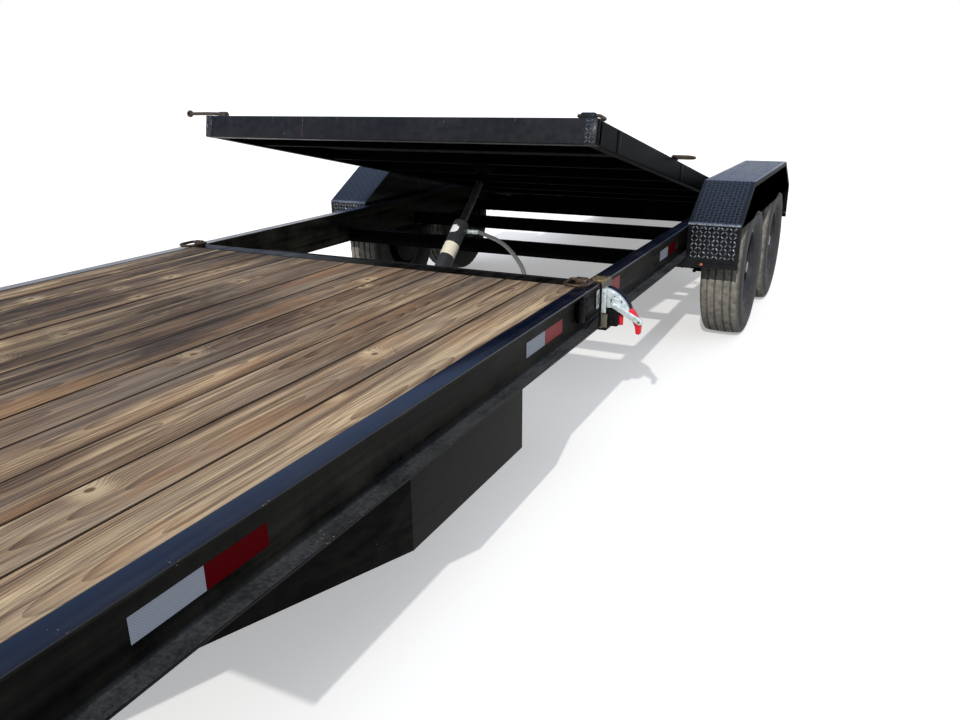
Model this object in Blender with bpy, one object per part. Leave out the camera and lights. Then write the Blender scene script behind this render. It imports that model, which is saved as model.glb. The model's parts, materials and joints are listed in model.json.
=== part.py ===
"""Tilt-bed equipment trailer with a fixed front deck, parked on its tongue jack.

X is the trailer's left, Y points to its tail and Z is up, in metres. The origin lies
under the jack's foot. The frame is drawn from the deck datum: stations run rearwards
from the fixed deck's rear edge, and heights count from the deck's surface. The bed is
drawn level, on an empty at its pivot that tips it to the resting pose.
"""
import math

import bmesh
import bpy
from mathutils import Matrix, Vector

# Fits
SEAT = 0.0003
RUN = 0.006
PIN_RUN = 0.0008
WELD = 0.002

# Ground and deck datum
DECK_HEIGHT = 0.690
JACK_STATION = -3.300

# Main frame
FRAME_WIDTH = 2.018
RAIL_DEPTH = 0.178
RAIL_FLANGE = 0.053
RAIL_WEB = 0.0055
RAIL_FLANGE_THICK = 0.009
RAIL_REAR = 3.450
FIXED_DECK_LENGTH = 2.438
HEADER_FLANGE = 0.052
BOARD_THICK = 0.038
BOARD_GAP = 0.004
BOARD_COUNT = 13
DECK_JOIST_COUNT = 4
JOIST_WIDTH = 0.040
DECK_JOIST_DEPTH = 0.076
DECK_JOIST_FIRST = 0.250
DECK_JOIST_LAST = 0.150
EDGE_WIDTH = 0.076
EDGE_DEPTH = 0.102
EDGE_THICK = 0.006
CROSSMEMBER_FLANGE = 0.038
CROSSMEMBER_WALL = 0.006
CROSSMEMBER_FIRST = 0.400
CROSSMEMBER_PITCH = 0.750
CROSSMEMBER_COUNT = 4

# Tongue
TONGUE_DEPTH = 0.197
TONGUE_FLANGE = 0.057
TONGUE_WALL = 0.009
TONGUE_REAR = -0.690
TONGUE_BEND = -1.340
TONGUE_TIP = -3.616
TONGUE_TIP_HALF = 0.065
TONGUE_CROSS = -2.300
TONGUE_CROSS_WIDTH = 0.050
JACK_PLATE_LENGTH = 0.300
JACK_PLATE_THICK = 0.010
COUPLER_MAST_HEIGHT = 0.340
COUPLER_MAST_DEPTH = 0.060
COUPLER_MAST_WALL = 0.010
COUPLER_LENGTH = 0.300
COUPLER_WIDTH = 0.096
COUPLER_HEIGHT = 0.074
COUPLER_BOTTOM = -0.235
COUPLER_MAST_RISE = 0.060
COUPLER_PAD_THICK = 0.014
COUPLER_PAD_DROP = 0.060
COUPLER_PAD_RISE = 0.020
COUPLER_LID_HEIGHT = 0.022
COUPLER_LID_RADIUS = 0.0384
COUPLER_LID_TOP_RADIUS = 0.024
COUPLER_LEVER_HALF = 0.012
COUPLER_LEVER_LOW = 0.010
COUPLER_LEVER_HIGH = 0.026
COUPLER_LEVER_GAP = 0.060
COUPLER_HINGE_HALF = 0.020
COUPLER_HINGE_LENGTH = 0.050
COUPLER_HINGE_HEIGHT = 0.020
SOCKET_DEPTH = 0.030
SOCKET_FLARE = 0.002
SOCKET_MOUTH = 0.006
BALL_RADIUS = 0.0315

# Jack
JACK_TUBE_RADIUS = 0.042
JACK_TOP = 0.330
JACK_TUBE_LENGTH = 0.640
JACK_LEG_RADIUS = 0.034
JACK_FOOT = 0.200
JACK_FOOT_THICK = 0.010
JACK_BORE_DEPTH = 0.350
JACK_COLLAR_DROP = 0.020
JACK_COLLAR_RISE = 0.030
JACK_COLLAR_WALL = 0.010
JACK_HEAD_HEIGHT = 0.070
JACK_HEAD_WALL = 0.006
JACK_LEG_GAP = 0.040
CRANK_DROP = 0.035
CRANK_START = 0.030
CRANK_OUT = 0.078
CRANK_REACH = 0.200
CRANK_RADIUS = 0.008
CRANK_SHAFT_RADIUS = 0.011
CRANK_GRIP_LENGTH = 0.110
CRANK_GRIP_RADIUS = 0.012

# Running gear
WHEEL_SIDES = 24
TYRE_RADIUS = 0.389
TYRE_WIDTH = 0.225
TREAD_WIDTH = 0.196
TREAD_CROWN = 0.098
TREAD_EDGE_DROP = 0.004
SHOULDER_DROP = 0.016
SHOULDER_STEP = 0.008
BEAD_SUNK = 0.002
BEAD_HEIGHT = 0.018
WALL_LOW = 0.036
WALL_WIDE = 0.085
WALL_HIGH = 0.125
BEAD_RADIUS = 0.206
RIM_WIDTH = 0.170
RIM_WALL = 0.008
RIM_LIP = 0.006
RIM_FLANGE = 0.014
DISC_FACE = 0.022
DISC_THICK = 0.010
DISC_PAD_RADIUS = 0.092
DISC_BOWL = 0.042
DISC_BOWL_RADIUS = 0.118
DISC_CROWN = 0.046
DISC_CROWN_RADIUS = 0.168
DISC_EDGE = 0.034
HAND_HOLE_COUNT = 8
HAND_HOLE_RADIUS = 0.015
HAND_HOLE_RING = 0.143
HUB_CAP_DROP = 0.016
HUB_CAP_LENGTH = 0.020
TYRE_CLEARANCE = 0.0435
AXLE_MIDPOINT = 2.415
AXLE_SPREAD = 0.910
AXLE_RADIUS = 0.038
SPINDLE_RADIUS = 0.022
HUB_RADIUS = 0.052
DRUM_RADIUS = 0.155
DRUM_WIDTH = 0.060
DRUM_BACK = 0.115
DRUM_PLATE_GAP = 0.010
DRUM_PLATE_THICK = 0.006
SPINDLE_OUT = 0.040
HUB_OUT = 0.062
SPRING_LENGTH = 0.655
SPRING_WIDTH = 0.045
LEAF_THICK = 0.008
LEAF_COUNT = 4
HANGER_WALL = 0.008
HANGER_HALF = 0.040
HANGER_DROP = 0.085
SEAT_PAD_HALF = 0.050
SEAT_PAD_HEIGHT = 0.046
SPRING_EYE_HEIGHT = -0.206
SPRING_EYE_RADIUS = 0.018
LEAF_SHORTER = 0.069
LEAF_OVERLAP = 0.0004
ROCKER_HALF_WIDTH = 0.0185
ROCKER_TIP = 0.012
ROCKER_SIDE_DROP = 0.010
ROCKER_DROP = 0.046
ROCKER_RISE = 0.006

# Fenders
FENDER_WIDTH = 0.268
FENDER_SHEET = 0.004
FENDER_HALF_LENGTH = 0.995
FENDER_SLOPE_RUN = 0.330
FENDER_TOP = 0.200
FENDER_SHOULDER = 0.015
FENDER_SKIRT = -0.181
FENDER_LIP = 0.028
FENDER_PANEL_BOTTOM = -0.008
SHELF_DEPTH = 0.080
SHELF_LIP = 0.038
LAMP_INSET = 0.030
LAMP_WIDTH = 0.160
LAMP_TOP = -0.085
LAMP_HEIGHT = 0.065
LAMP_DEPTH = 0.030

# Tilting bed
BED_TILT = math.radians(11.1)
BED_LENGTH = 6.096
BED_GAP = 0.015
BED_DEPTH = 0.096
BED_FLANGE = 0.040
BED_WALL = 0.007
BED_JOIST_COUNT = 10
BED_JOIST_FIRST = 0.310
BED_JOIST_LAST = 0.250
PIVOT_STATION = 3.050
PIVOT_DROP = 0.140
PIVOT_RADIUS = 0.024
LUG_RADIUS = 0.040
LUG_THICK = 0.014
LUG_FLARE = 0.015
LUG_LAP = 0.004
TAIL_LENGTH = 0.350
TAIL_TIP = 0.014
TAIL_PLATE = 0.007
TAIL_RIBS = 5
TAIL_LIP = 0.050
TAIL_RIB_END = 0.010

# Cushion cylinder
CYL_BASE_STATION = 0.450
CYL_BASE_DROP = 0.275
EYE_STATION = 1.056
EYE_DROP = 0.095
TUBE_RADIUS = 0.042
TUBE_START = 0.075
NECK_HALF = 0.017
NECK_START = 0.005
TUBE_LENGTH = 0.480
ROD_RADIUS = 0.019
EYE_RADIUS = 0.030
EYE_WIDTH = 0.040
TUBE_BORE_START = 0.120
ROD_OVERLAP = 0.100
PORT_REACH = 0.033
PORT_BACK = 0.050
PORT_RADIUS = 0.014
PORT_SUNK = 0.010
EAR_THICK = 0.010
CHEEK_CORNER = 0.020
EAR_CORNER = 0.020
PIN_RADIUS = 0.012
GLAND_LENGTH = 0.034
GLAND_STEP = 0.004

# Hose
HOSE_RADIUS = 0.011
HOSE_END_X = 0.520
HOSE_STRAIGHT = 0.022
HOSE_BRACKET_HALF = 0.025
HOSE_BRACKET_WALL = 0.008
HOSE_FITTING_HEIGHT = 0.040
HOSE_FITTING_RADIUS = 0.016
HOSE_ROUTE = (
    (0.180, 0.745, -0.003), (0.250, 0.690, -0.006), (0.320, 0.630, -0.014), (0.385, 0.570, -0.031),
    (0.440, 0.520, -0.056), (0.480, 0.488, -0.087), (0.505, 0.465, -0.130), (0.517, 0.453, -0.180),
)

# Latch
LATCH_STATION = 0.060
LATCH_POST_WIDTH = 0.100
LATCH_POST_THICK = 0.010
LATCH_COVER_INSET = 0.012
LATCH_SHEET = 0.004
LATCH_PLATE_BOTTOM = 0.118
LATCH_COVER_BOTTOM = 0.090
LATCH_COVER_CURVE = (
    (0, 0.026), (0.034, 0.026), (0.066, 0.042), (0.092, 0.068), (0.108, 0.100), (0.070, 0.108),
)
LATCH_BAR_THICK = 0.010
LATCH_BAR_OUTLINE = (
    (0.022, 0.076), (0.034, 0.066), (0.118, 0.118), (0.132, 0.134), (0.130, 0.148), (0.116, 0.150),
)
LATCH_GRIP_OUTLINE = (
    (0.098, 0.1145), (0.114, 0.110), (0.136, 0.138), (0.134, 0.186), (0.116, 0.186), (0.116, 0.142),
)
LATCH_GRIP_HALF = 0.030
LATCH_BLOCK_TOP = 0.120
LATCH_BLOCK_BOTTOM = 0.170
LATCH_BLOCK_REACH = 0.050
LATCH_PIN_SETBACK = 0.125
LATCH_PIN_RADIUS = 0.024
LATCH_PIN_TOP = 0.052
LATCH_PIN_BOTTOM = 0.150

# Tie rings
RING_INNER = 0.034
RING_BAR = 0.008
RING_LENGTH = 0.100
RING_LIFT = 0.006
STRAP_HALF_WIDTH = 0.022
STRAP_HALF_LENGTH = 0.014
STRAP_WALL = 0.004
RING_INSET = 0.058
DECK_RING_STATION = 0.032
BED_RING_FRONT = 0.060
BED_RING_SIDE = 1.300
EYE_BAR_INSET = 0.060
EYE_BAR_LENGTH = 0.210
EYE_BAR_THICK = 0.014
EYE_BAR_RADIUS = 0.016
EYE_BAR_HOLE = 0.0065

# Values that follow from the sizes above
FRAME_HALF = FRAME_WIDTH / 2
WEB_OUTER = FRAME_HALF - RAIL_FLANGE
WEB_INNER = WEB_OUTER - RAIL_WEB
BED_HALF = WEB_INNER - RUN
BED_FRONT = BED_GAP
BED_REAR = BED_FRONT + BED_LENGTH
FRONT_AXLE = AXLE_MIDPOINT - AXLE_SPREAD / 2
REAR_AXLE = AXLE_MIDPOINT + AXLE_SPREAD / 2
AXLE_HEIGHT = TYRE_RADIUS - DECK_HEIGHT
WHEEL_TRACK_HALF = FRAME_HALF + TYRE_CLEARANCE + TYRE_WIDTH / 2
SPRING_X = WEB_OUTER + RAIL_FLANGE / 2
TONGUE_TOP = -RAIL_DEPTH - SEAT
TONGUE_BOTTOM = TONGUE_TOP - TONGUE_DEPTH
TONGUE_OUTER = FRAME_HALF - RUN
TONGUE_ANGLE = math.atan2(TONGUE_OUTER - TONGUE_TIP_HALF, TONGUE_BEND - TONGUE_TIP)
FENDER_INNER = FRAME_HALF + SEAT
PIVOT = Vector((0, PIVOT_STATION, -PIVOT_DROP))
CYL_BASE = Vector((0, CYL_BASE_STATION, -CYL_BASE_DROP))
EYE_LEVEL = Vector((0, EYE_STATION, -EYE_DROP))
HOSE_PORT = TUBE_LENGTH - PORT_BACK


def tilted(point):
    """A point of the level bed, where it lies once the bed is tipped."""
    return PIVOT + Matrix.Rotation(-BED_TILT, 3, "X") @ (point - PIVOT)


EYE_REST = tilted(EYE_LEVEL)
CYL_ANGLE = math.atan2(EYE_REST.z - CYL_BASE.z, EYE_REST.y - CYL_BASE.y)
CYL_REACH = (EYE_REST - CYL_BASE).length


def material(name, colour, roughness, metallic):
    """A plain finish in the part's colour."""
    made = bpy.data.materials.new(name)
    made.use_nodes = True
    shader = made.node_tree.nodes["Principled BSDF"]
    shader.inputs["Base Color"].default_value = (*colour, 1)
    shader.inputs["Roughness"].default_value = roughness
    shader.inputs["Metallic"].default_value = metallic
    return made


def mesh_object(name, shape):
    """An object that holds a bmesh, with outward faces and its corners on a micrometre grid."""
    for corner in shape.verts:
        corner.co = [round(value, 6) for value in corner.co]
    bmesh.ops.recalc_face_normals(shape, faces=shape.faces)
    mesh = bpy.data.meshes.new(name)
    shape.to_mesh(mesh)
    shape.free()
    made = bpy.data.objects.new(name, mesh)
    bpy.context.scene.collection.objects.link(made)
    return made


def combine(body, shapes, operation):
    """Work other shapes into a body with one Boolean modifier, and keep the result as its mesh."""
    tools = bpy.data.collections.new("tools")
    bpy.context.scene.collection.children.link(tools)
    for shape in shapes:
        tool = mesh_object("tool", shape)
        bpy.context.scene.collection.objects.unlink(tool)
        tools.objects.link(tool)
    modifier = body.modifiers.new("combine", "BOOLEAN")
    modifier.operation = operation
    modifier.solver = "EXACT"
    modifier.operand_type = "COLLECTION"
    modifier.collection = tools
    bpy.context.view_layer.update()
    seen = body.evaluated_get(bpy.context.evaluated_depsgraph_get())
    mesh = bpy.data.meshes.new_from_object(seen)
    body.modifiers.clear()
    body.data = mesh
    for tool in list(tools.objects):
        bpy.data.objects.remove(tool)
    bpy.data.collections.remove(tools)


def finish(body, look, parent, origin):
    """Move the mesh so that its object's origin is a point of the parent, and shade it."""
    body.data.transform(Matrix.Translation(-Vector(origin)))
    body.data.materials.clear()
    body.data.materials.append(look)
    body.data.shade_smooth()
    body.data.set_sharp_from_angle(angle=math.radians(35))
    body.parent = parent
    return body


def part(name, shapes, look, parent, cuts=(), origin=(0, 0, 0)):
    """One closed solid: overlapping shapes welded together, then cut."""
    body = mesh_object(name, shapes[0])
    if len(shapes) > 1:
        combine(body, shapes[1:], "UNION")
    if cuts:
        combine(body, cuts, "DIFFERENCE")
    return finish(body, look, parent, origin)


def prism(outline, axis, start, end):
    """A closed outline in the plane across an axis, drawn out along that axis."""
    slots = {"X": (1, 2, 0), "Y": (0, 2, 1), "Z": (0, 1, 2)}[axis]
    shape = bmesh.new()
    corners = []
    for across, up in outline:
        point = [0.0, 0.0, 0.0]
        point[slots[0]] = across
        point[slots[1]] = up
        point[slots[2]] = start
        corners.append(shape.verts.new(point))
    base = shape.faces.new(corners)
    drawn = bmesh.ops.extrude_face_region(shape, geom=[base])
    moved = [item for item in drawn["geom"] if isinstance(item, bmesh.types.BMVert)]
    shift = Vector((0, 0, 0))
    shift[slots[2]] = end - start
    bmesh.ops.translate(shape, verts=moved, vec=shift)
    return shape


def box(low, high):
    """A plain block between two corners."""
    outline = [(low[0], low[1]), (high[0], low[1]), (high[0], high[1]), (low[0], high[1])]
    return prism(outline, "Z", low[2], high[2])


def rod(start, end, radius, segments=20, end_radius=None):
    """A round bar or cone between two points."""
    start = Vector(start)
    end = Vector(end)
    shape = bmesh.new()
    bmesh.ops.create_cone(
        shape, cap_ends=True, segments=segments, radius1=radius,
        radius2=radius if end_radius is None else end_radius, depth=(end - start).length,
    )
    turn = Vector((0, 0, 1)).rotation_difference(end - start).to_matrix().to_4x4()
    shape.transform(Matrix.Translation((start + end) / 2) @ turn)
    return shape


def turned(profile, segments):
    """A solid turned round X from a profile of (x, radius) points, closed unless it starts on the axis."""
    shape = bmesh.new()
    points = [shape.verts.new((x, radius, 0)) for x, radius in profile]
    edges = [shape.edges.new(pair) for pair in zip(points, points[1:])]
    if profile[0][1]:
        edges.append(shape.edges.new((points[-1], points[0])))
    bmesh.ops.spin(
        shape, geom=points + edges, cent=(0, 0, 0), axis=(1, 0, 0),
        angle=math.tau, steps=segments, use_merge=True,
    )
    bmesh.ops.remove_doubles(shape, verts=shape.verts, dist=1e-5)
    return shape


def bent_bar(points, radius, segments=8, closed=False):
    """A round bar bent along a path, with a ring of corners at each point."""
    shape = bmesh.new()
    rings = []
    count = len(points)
    for index, point in enumerate(points):
        before = points[index - 1] if closed or index else point
        after = points[(index + 1) % count] if closed or index < count - 1 else point
        turn = Vector((0, 0, 1)).rotation_difference(Vector(after) - Vector(before))
        ring = []
        for step in range(segments):
            angle = math.tau * step / segments
            offset = turn @ Vector((math.cos(angle) * radius, math.sin(angle) * radius, 0))
            ring.append(shape.verts.new(Vector(point) + offset))
        rings.append([shape.edges.new((a, b)) for a, b in zip(ring, ring[1:] + ring[:1])])
    pairs = zip(rings, rings[1:] + rings[:1]) if closed else zip(rings, rings[1:])
    for first, second in pairs:
        bmesh.ops.bridge_loops(shape, edges=first + second)
    if not closed:
        for ring in (rings[0], rings[-1]):
            bmesh.ops.contextual_create(shape, geom=ring)
    return shape


def channel(depth, flange, web, wall):
    """The outline of a channel, web on the left, its lower left corner at zero."""
    return [
        (0, 0), (flange, 0), (flange, wall), (web, wall),
        (web, depth - wall), (flange, depth - wall), (flange, depth), (0, depth),
    ]


def placed(outline, across, up, flip=1):
    """An outline moved to its place, mirrored when flip is -1."""
    return [(across + flip * a, up + b) for a, b in outline]


def offset(path, distance):
    """A path moved sideways, to its left when the distance is positive, with its corners mitred."""
    moved = []
    for index, point in enumerate(path):
        here = Vector(point)
        before = here - Vector(path[index - 1]) if index else Vector(path[1]) - here
        after = Vector(path[index + 1]) - here if index < len(path) - 1 else before
        first = Vector((-before.y, before.x)).normalized()
        second = Vector((-after.y, after.x)).normalized()
        mean = (first + second).normalized()
        moved.append(tuple(here + mean * distance / mean.dot(first)))
    return moved


def strip(path, thickness):
    """The outline of a sheet of even thickness that follows a path on its left side."""
    return list(path) + offset(path, thickness)[::-1]


def stations(start, end, count):
    """Evenly spaced places from start to end."""
    return [start + (end - start) * index / (count - 1) for index in range(count)]


def make_looks():
    """The finishes of the trailer's pieces."""
    return {
        "black": material("black paint", (0.012, 0.013, 0.016), 0.25, 0.0),
        "satin": material("satin black steel", (0.03, 0.032, 0.036), 0.5, 0.2),
        "wood": material("weathered pine", (0.23, 0.17, 0.12), 0.85, 0.0),
        "rubber": material("tyre rubber", (0.03, 0.03, 0.032), 0.8, 0.0),
        "rim": material("painted wheel", (0.02, 0.021, 0.024), 0.35, 0.3),
        "zinc": material("zinc plate", (0.5, 0.5, 0.49), 0.35, 0.9),
        "rust": material("rusty steel", (0.25, 0.13, 0.07), 0.8, 0.3),
        "chrome": material("chromed rod", (0.6, 0.6, 0.62), 0.15, 1.0),
        "hose": material("hose rubber", (0.02, 0.02, 0.022), 0.5, 0.0),
        "red": material("lamp lens", (0.4, 0.02, 0.02), 0.2, 0.0),
    }


def hanger_shapes(side, station):
    """A spring hanger: two plates under the rail that hold a spring's eye between them."""
    shapes = []
    for edge in (-1, 1):
        face = side * SPRING_X + edge * (SPRING_WIDTH / 2 + SEAT)
        back = face + edge * HANGER_WALL
        low = (min(face, back), station - HANGER_HALF, -RAIL_DEPTH - HANGER_DROP)
        high = (max(face, back), station + HANGER_HALF, -RAIL_DEPTH + WELD)
        shapes.append(box(low, high))
    return shapes


def build_rails(looks, datum):
    """The two main channels, flanges outwards, with the spring hangers welded under them."""
    outline = channel(RAIL_DEPTH, RAIL_FLANGE + RAIL_WEB, RAIL_WEB, RAIL_FLANGE_THICK)
    front = -FIXED_DECK_LENGTH + RAIL_WEB + SEAT
    reach = SPRING_LENGTH / 2
    ends = (FRONT_AXLE - reach, AXLE_MIDPOINT, REAR_AXLE + reach)
    for name, side in (("left", 1), ("right", -1)):
        rail = prism(placed(outline, side * WEB_INNER, -RAIL_DEPTH, side), "Y", front, RAIL_REAR)
        shapes = [rail]
        for station in ends:
            shapes += hanger_shapes(side, station)
        part("rail_" + name, shapes, looks["black"], datum)


def build_front_header(looks, datum):
    """The channel across the front of the frame."""
    outline = channel(RAIL_DEPTH, HEADER_FLANGE, RAIL_WEB, RAIL_FLANGE_THICK)
    face = placed(outline, -FIXED_DECK_LENGTH, -RAIL_DEPTH)
    ends = WEB_INNER - SEAT
    shapes = [prism(face, "X", -ends, ends)]
    low = (-FRAME_HALF, -FIXED_DECK_LENGTH, -RAIL_DEPTH)
    high = (FRAME_HALF, -FIXED_DECK_LENGTH + RAIL_WEB, 0)
    part("front_header", shapes + [box(low, high)], looks["black"], datum)


def board_shapes(half_width, start, end, count):
    """A row of boards laid lengthwise, with an open gap between neighbours."""
    pitch = (2 * half_width + BOARD_GAP) / count
    shapes = []
    for index in range(count):
        left = -half_width + index * pitch
        shapes.append(box((left, start, -BOARD_THICK), (left + pitch - BOARD_GAP, end, 0)))
    return shapes


def joist_shapes(half_width, depth, places):
    """Cross joists that carry the boards."""
    low = -BOARD_THICK - depth
    high = -BOARD_THICK + WELD
    half = JOIST_WIDTH / 2
    return [box((-half_width, place - half, low), (half_width, place + half, high)) for place in places]


def build_fixed_deck(looks, datum):
    """The fixed deck's boards on their joists, and the steel edge behind them."""
    half = WEB_INNER - SEAT
    front = -FIXED_DECK_LENGTH + HEADER_FLANGE + SEAT
    rear = -EDGE_WIDTH - SEAT
    places = stations(front + DECK_JOIST_FIRST, rear - DECK_JOIST_LAST, DECK_JOIST_COUNT)
    boards = board_shapes(half, front, rear, BOARD_COUNT)
    part("fixed_deck", joist_shapes(half, DECK_JOIST_DEPTH, places) + boards, looks["wood"], datum)
    outline = placed(channel(EDGE_DEPTH, EDGE_WIDTH, EDGE_THICK, EDGE_THICK), 0, -EDGE_DEPTH, -1)
    part("deck_edge", [prism(outline, "X", -half, half)], looks["black"], datum)


def build_crossmembers(looks, datum):
    """The low channels between the rails that the lowered bed lies over."""
    top = -BED_DEPTH - RUN
    depth = RAIL_DEPTH + top
    half = WEB_INNER - SEAT
    outline = channel(depth, CROSSMEMBER_FLANGE, CROSSMEMBER_WALL, CROSSMEMBER_WALL)
    for index in range(CROSSMEMBER_COUNT):
        station = CROSSMEMBER_FIRST + index * CROSSMEMBER_PITCH
        shapes = [prism(placed(outline, station, -RAIL_DEPTH), "X", -half, half)]
        if index == 0:
            shapes += cylinder_mount_shapes(station)
        part("crossmember_" + str(index + 1), shapes, looks["black"], datum)


def cylinder_mount_shapes(station):
    """The two cheeks and the pin that hold the cylinder's foot, and the bracket of its hose."""
    shapes = []
    top = -RAIL_DEPTH + WELD
    low = CYL_BASE.z - EYE_RADIUS
    back = CYL_BASE.y + EYE_RADIUS
    outline = [
        (station, top), (station, low + CHEEK_CORNER), (station + CHEEK_CORNER, low),
        (back - CHEEK_CORNER, low), (back, low + CHEEK_CORNER), (back, CYL_BASE.z + CHEEK_CORNER),
        (station + CROSSMEMBER_FLANGE, top),
    ]
    for side in (-1, 1):
        face = side * (EYE_WIDTH / 2 + PIN_RUN)
        shapes.append(prism(outline, "X", face, face + side * EAR_THICK))
    reach = EYE_WIDTH / 2 + PIN_RUN + EAR_THICK
    shapes.append(rod((-reach, CYL_BASE.y, CYL_BASE.z), (reach, CYL_BASE.y, CYL_BASE.z), PIN_RADIUS))
    left = HOSE_END_X - HOSE_BRACKET_HALF
    right = HOSE_END_X + HOSE_BRACKET_HALF
    front = station + WELD
    low = CYL_BASE.z - HOSE_FITTING_HEIGHT
    wall = HOSE_BRACKET_WALL
    shapes.append(box((left, front, low), (right, front + wall, top)))
    shapes.append(box((left, front, low), (right, CYL_BASE.y + HOSE_BRACKET_HALF, low + wall)))
    foot = (HOSE_END_X, CYL_BASE.y, low + WELD)
    shapes.append(rod(foot, (HOSE_END_X, CYL_BASE.y, CYL_BASE.z), HOSE_FITTING_RADIUS))
    return shapes


def build_pivot_shaft(looks, datum):
    """The shaft between the rails that the bed tips on."""
    half = WEB_INNER - SEAT
    shaft = rod((-half, PIVOT.y, PIVOT.z), (half, PIVOT.y, PIVOT.z), PIVOT_RADIUS, 24)
    part("pivot_shaft", [shaft], looks["satin"], datum)


def tongue_beam(side):
    """A tongue beam, its smooth web outside, straight under the rail and then bent in."""
    shape = bmesh.new()
    rings = [[], [], []]
    for inset, height in channel(TONGUE_DEPTH, TONGUE_FLANGE, TONGUE_WALL, TONGUE_WALL):
        z = TONGUE_BOTTOM + height
        straight = side * (TONGUE_OUTER - inset)
        mitre = TONGUE_BEND + inset * math.tan(TONGUE_ANGLE / 2)
        tip = side * (TONGUE_TIP_HALF - inset / math.cos(TONGUE_ANGLE))
        rings[0].append(shape.verts.new((straight, TONGUE_REAR, z)))
        rings[1].append(shape.verts.new((straight, mitre, z)))
        rings[2].append(shape.verts.new((tip, TONGUE_TIP, z)))
    loops = [[shape.edges.new(pair) for pair in zip(ring, ring[1:] + ring[:1])] for ring in rings]
    bmesh.ops.bridge_loops(shape, edges=loops[0] + loops[1])
    bmesh.ops.bridge_loops(shape, edges=loops[1] + loops[2])
    shape.faces.new(rings[0])
    shape.faces.new(rings[2])
    return shape


def tongue_inner_at(station):
    """How far the inside of a tongue beam's web is from the middle at a station."""
    outer = TONGUE_OUTER - (TONGUE_BEND - station) * math.tan(TONGUE_ANGLE)
    return outer - TONGUE_WALL / math.cos(TONGUE_ANGLE) - SEAT


def tongue_plate(front, rear, low, high):
    """A level plate that fits between the webs of the tongue beams."""
    wide = tongue_inner_at(rear)
    narrow = tongue_inner_at(front)
    outline = [(-wide, rear), (wide, rear), (narrow, front), (-narrow, front)]
    return prism(outline, "Z", low, high)


def build_tongue(looks, datum):
    """The two beams of the A-frame and the channel between them."""
    for name, side in (("left", 1), ("right", -1)):
        part("tongue_" + name, [tongue_beam(side)], looks["black"], datum)
    low = TONGUE_BOTTOM + TONGUE_WALL + SEAT
    high = TONGUE_TOP - TONGUE_WALL - SEAT
    front = TONGUE_CROSS
    rear = front + TONGUE_CROSS_WIDTH
    shapes = [
        tongue_plate(front, front + TONGUE_WALL, low, high),
        tongue_plate(front, rear, low, low + TONGUE_WALL),
        tongue_plate(front, rear, high - TONGUE_WALL, high),
    ]
    part("tongue_cross", shapes, looks["black"], datum)


def build_coupler(looks, datum):
    """The mast channel at the tongue's tip and the ball coupler bolted in it."""
    rear = TONGUE_TIP - SEAT
    half = TONGUE_TIP_HALF
    wall = COUPLER_MAST_WALL
    front = rear - COUPLER_MAST_DEPTH
    outline = [
        (-half, rear), (-half, front), (-half + wall, front), (-half + wall, rear - wall),
        (half - wall, rear - wall), (half - wall, front), (half, front), (half, rear),
    ]
    top = TONGUE_TOP + COUPLER_MAST_RISE
    part("coupler_mast", [prism(outline, "Z", top - COUPLER_MAST_HEIGHT, top)], looks["black"], datum)
    low = COUPLER_BOTTOM
    high = low + COUPLER_HEIGHT
    inside = half - wall - SEAT
    back = rear - wall - SEAT
    radius = COUPLER_WIDTH / 2
    ball = Vector((0, back - COUPLER_LENGTH + radius, low + SOCKET_DEPTH))
    turn = [math.pi + math.pi * step / 10 for step in range(11)]
    head = [(ball.x + radius * math.cos(a), ball.y + radius * math.sin(a)) for a in turn]
    head += [(radius, back - COUPLER_PAD_THICK / 2), (-radius, back - COUPLER_PAD_THICK / 2)]
    pad_low = (-inside, back - COUPLER_PAD_THICK, low - COUPLER_PAD_DROP)
    hinge_end = back - COUPLER_LEVER_GAP
    lid_top = (0, ball.y, high + COUPLER_LID_HEIGHT)
    lever_low = (-COUPLER_LEVER_HALF, ball.y, high + COUPLER_LEVER_LOW)
    hinge_low = (-COUPLER_HINGE_HALF, hinge_end - COUPLER_HINGE_LENGTH, high - WELD)
    shapes = [
        prism(head, "Z", low, high),
        box(pad_low, (inside, back, high + COUPLER_PAD_RISE)),
        rod((0, ball.y, high - WELD), lid_top, COUPLER_LID_RADIUS, 20, COUPLER_LID_TOP_RADIUS),
        box(lever_low, (COUPLER_LEVER_HALF, hinge_end, high + COUPLER_LEVER_HIGH)),
        box(hinge_low, (COUPLER_HINGE_HALF, hinge_end, high + COUPLER_HINGE_HEIGHT)),
    ]
    socket = bmesh.new()
    bmesh.ops.create_uvsphere(socket, u_segments=20, v_segments=12, radius=BALL_RADIUS)
    socket.transform(Matrix.Translation(ball))
    start = (0, ball.y, low - SOCKET_MOUTH)
    mouth = rod(start, (0, ball.y, ball.z - SOCKET_MOUTH), BALL_RADIUS + SOCKET_FLARE, 24)
    part("coupler", shapes, looks["satin"], datum, cuts=[socket, mouth])


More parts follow.
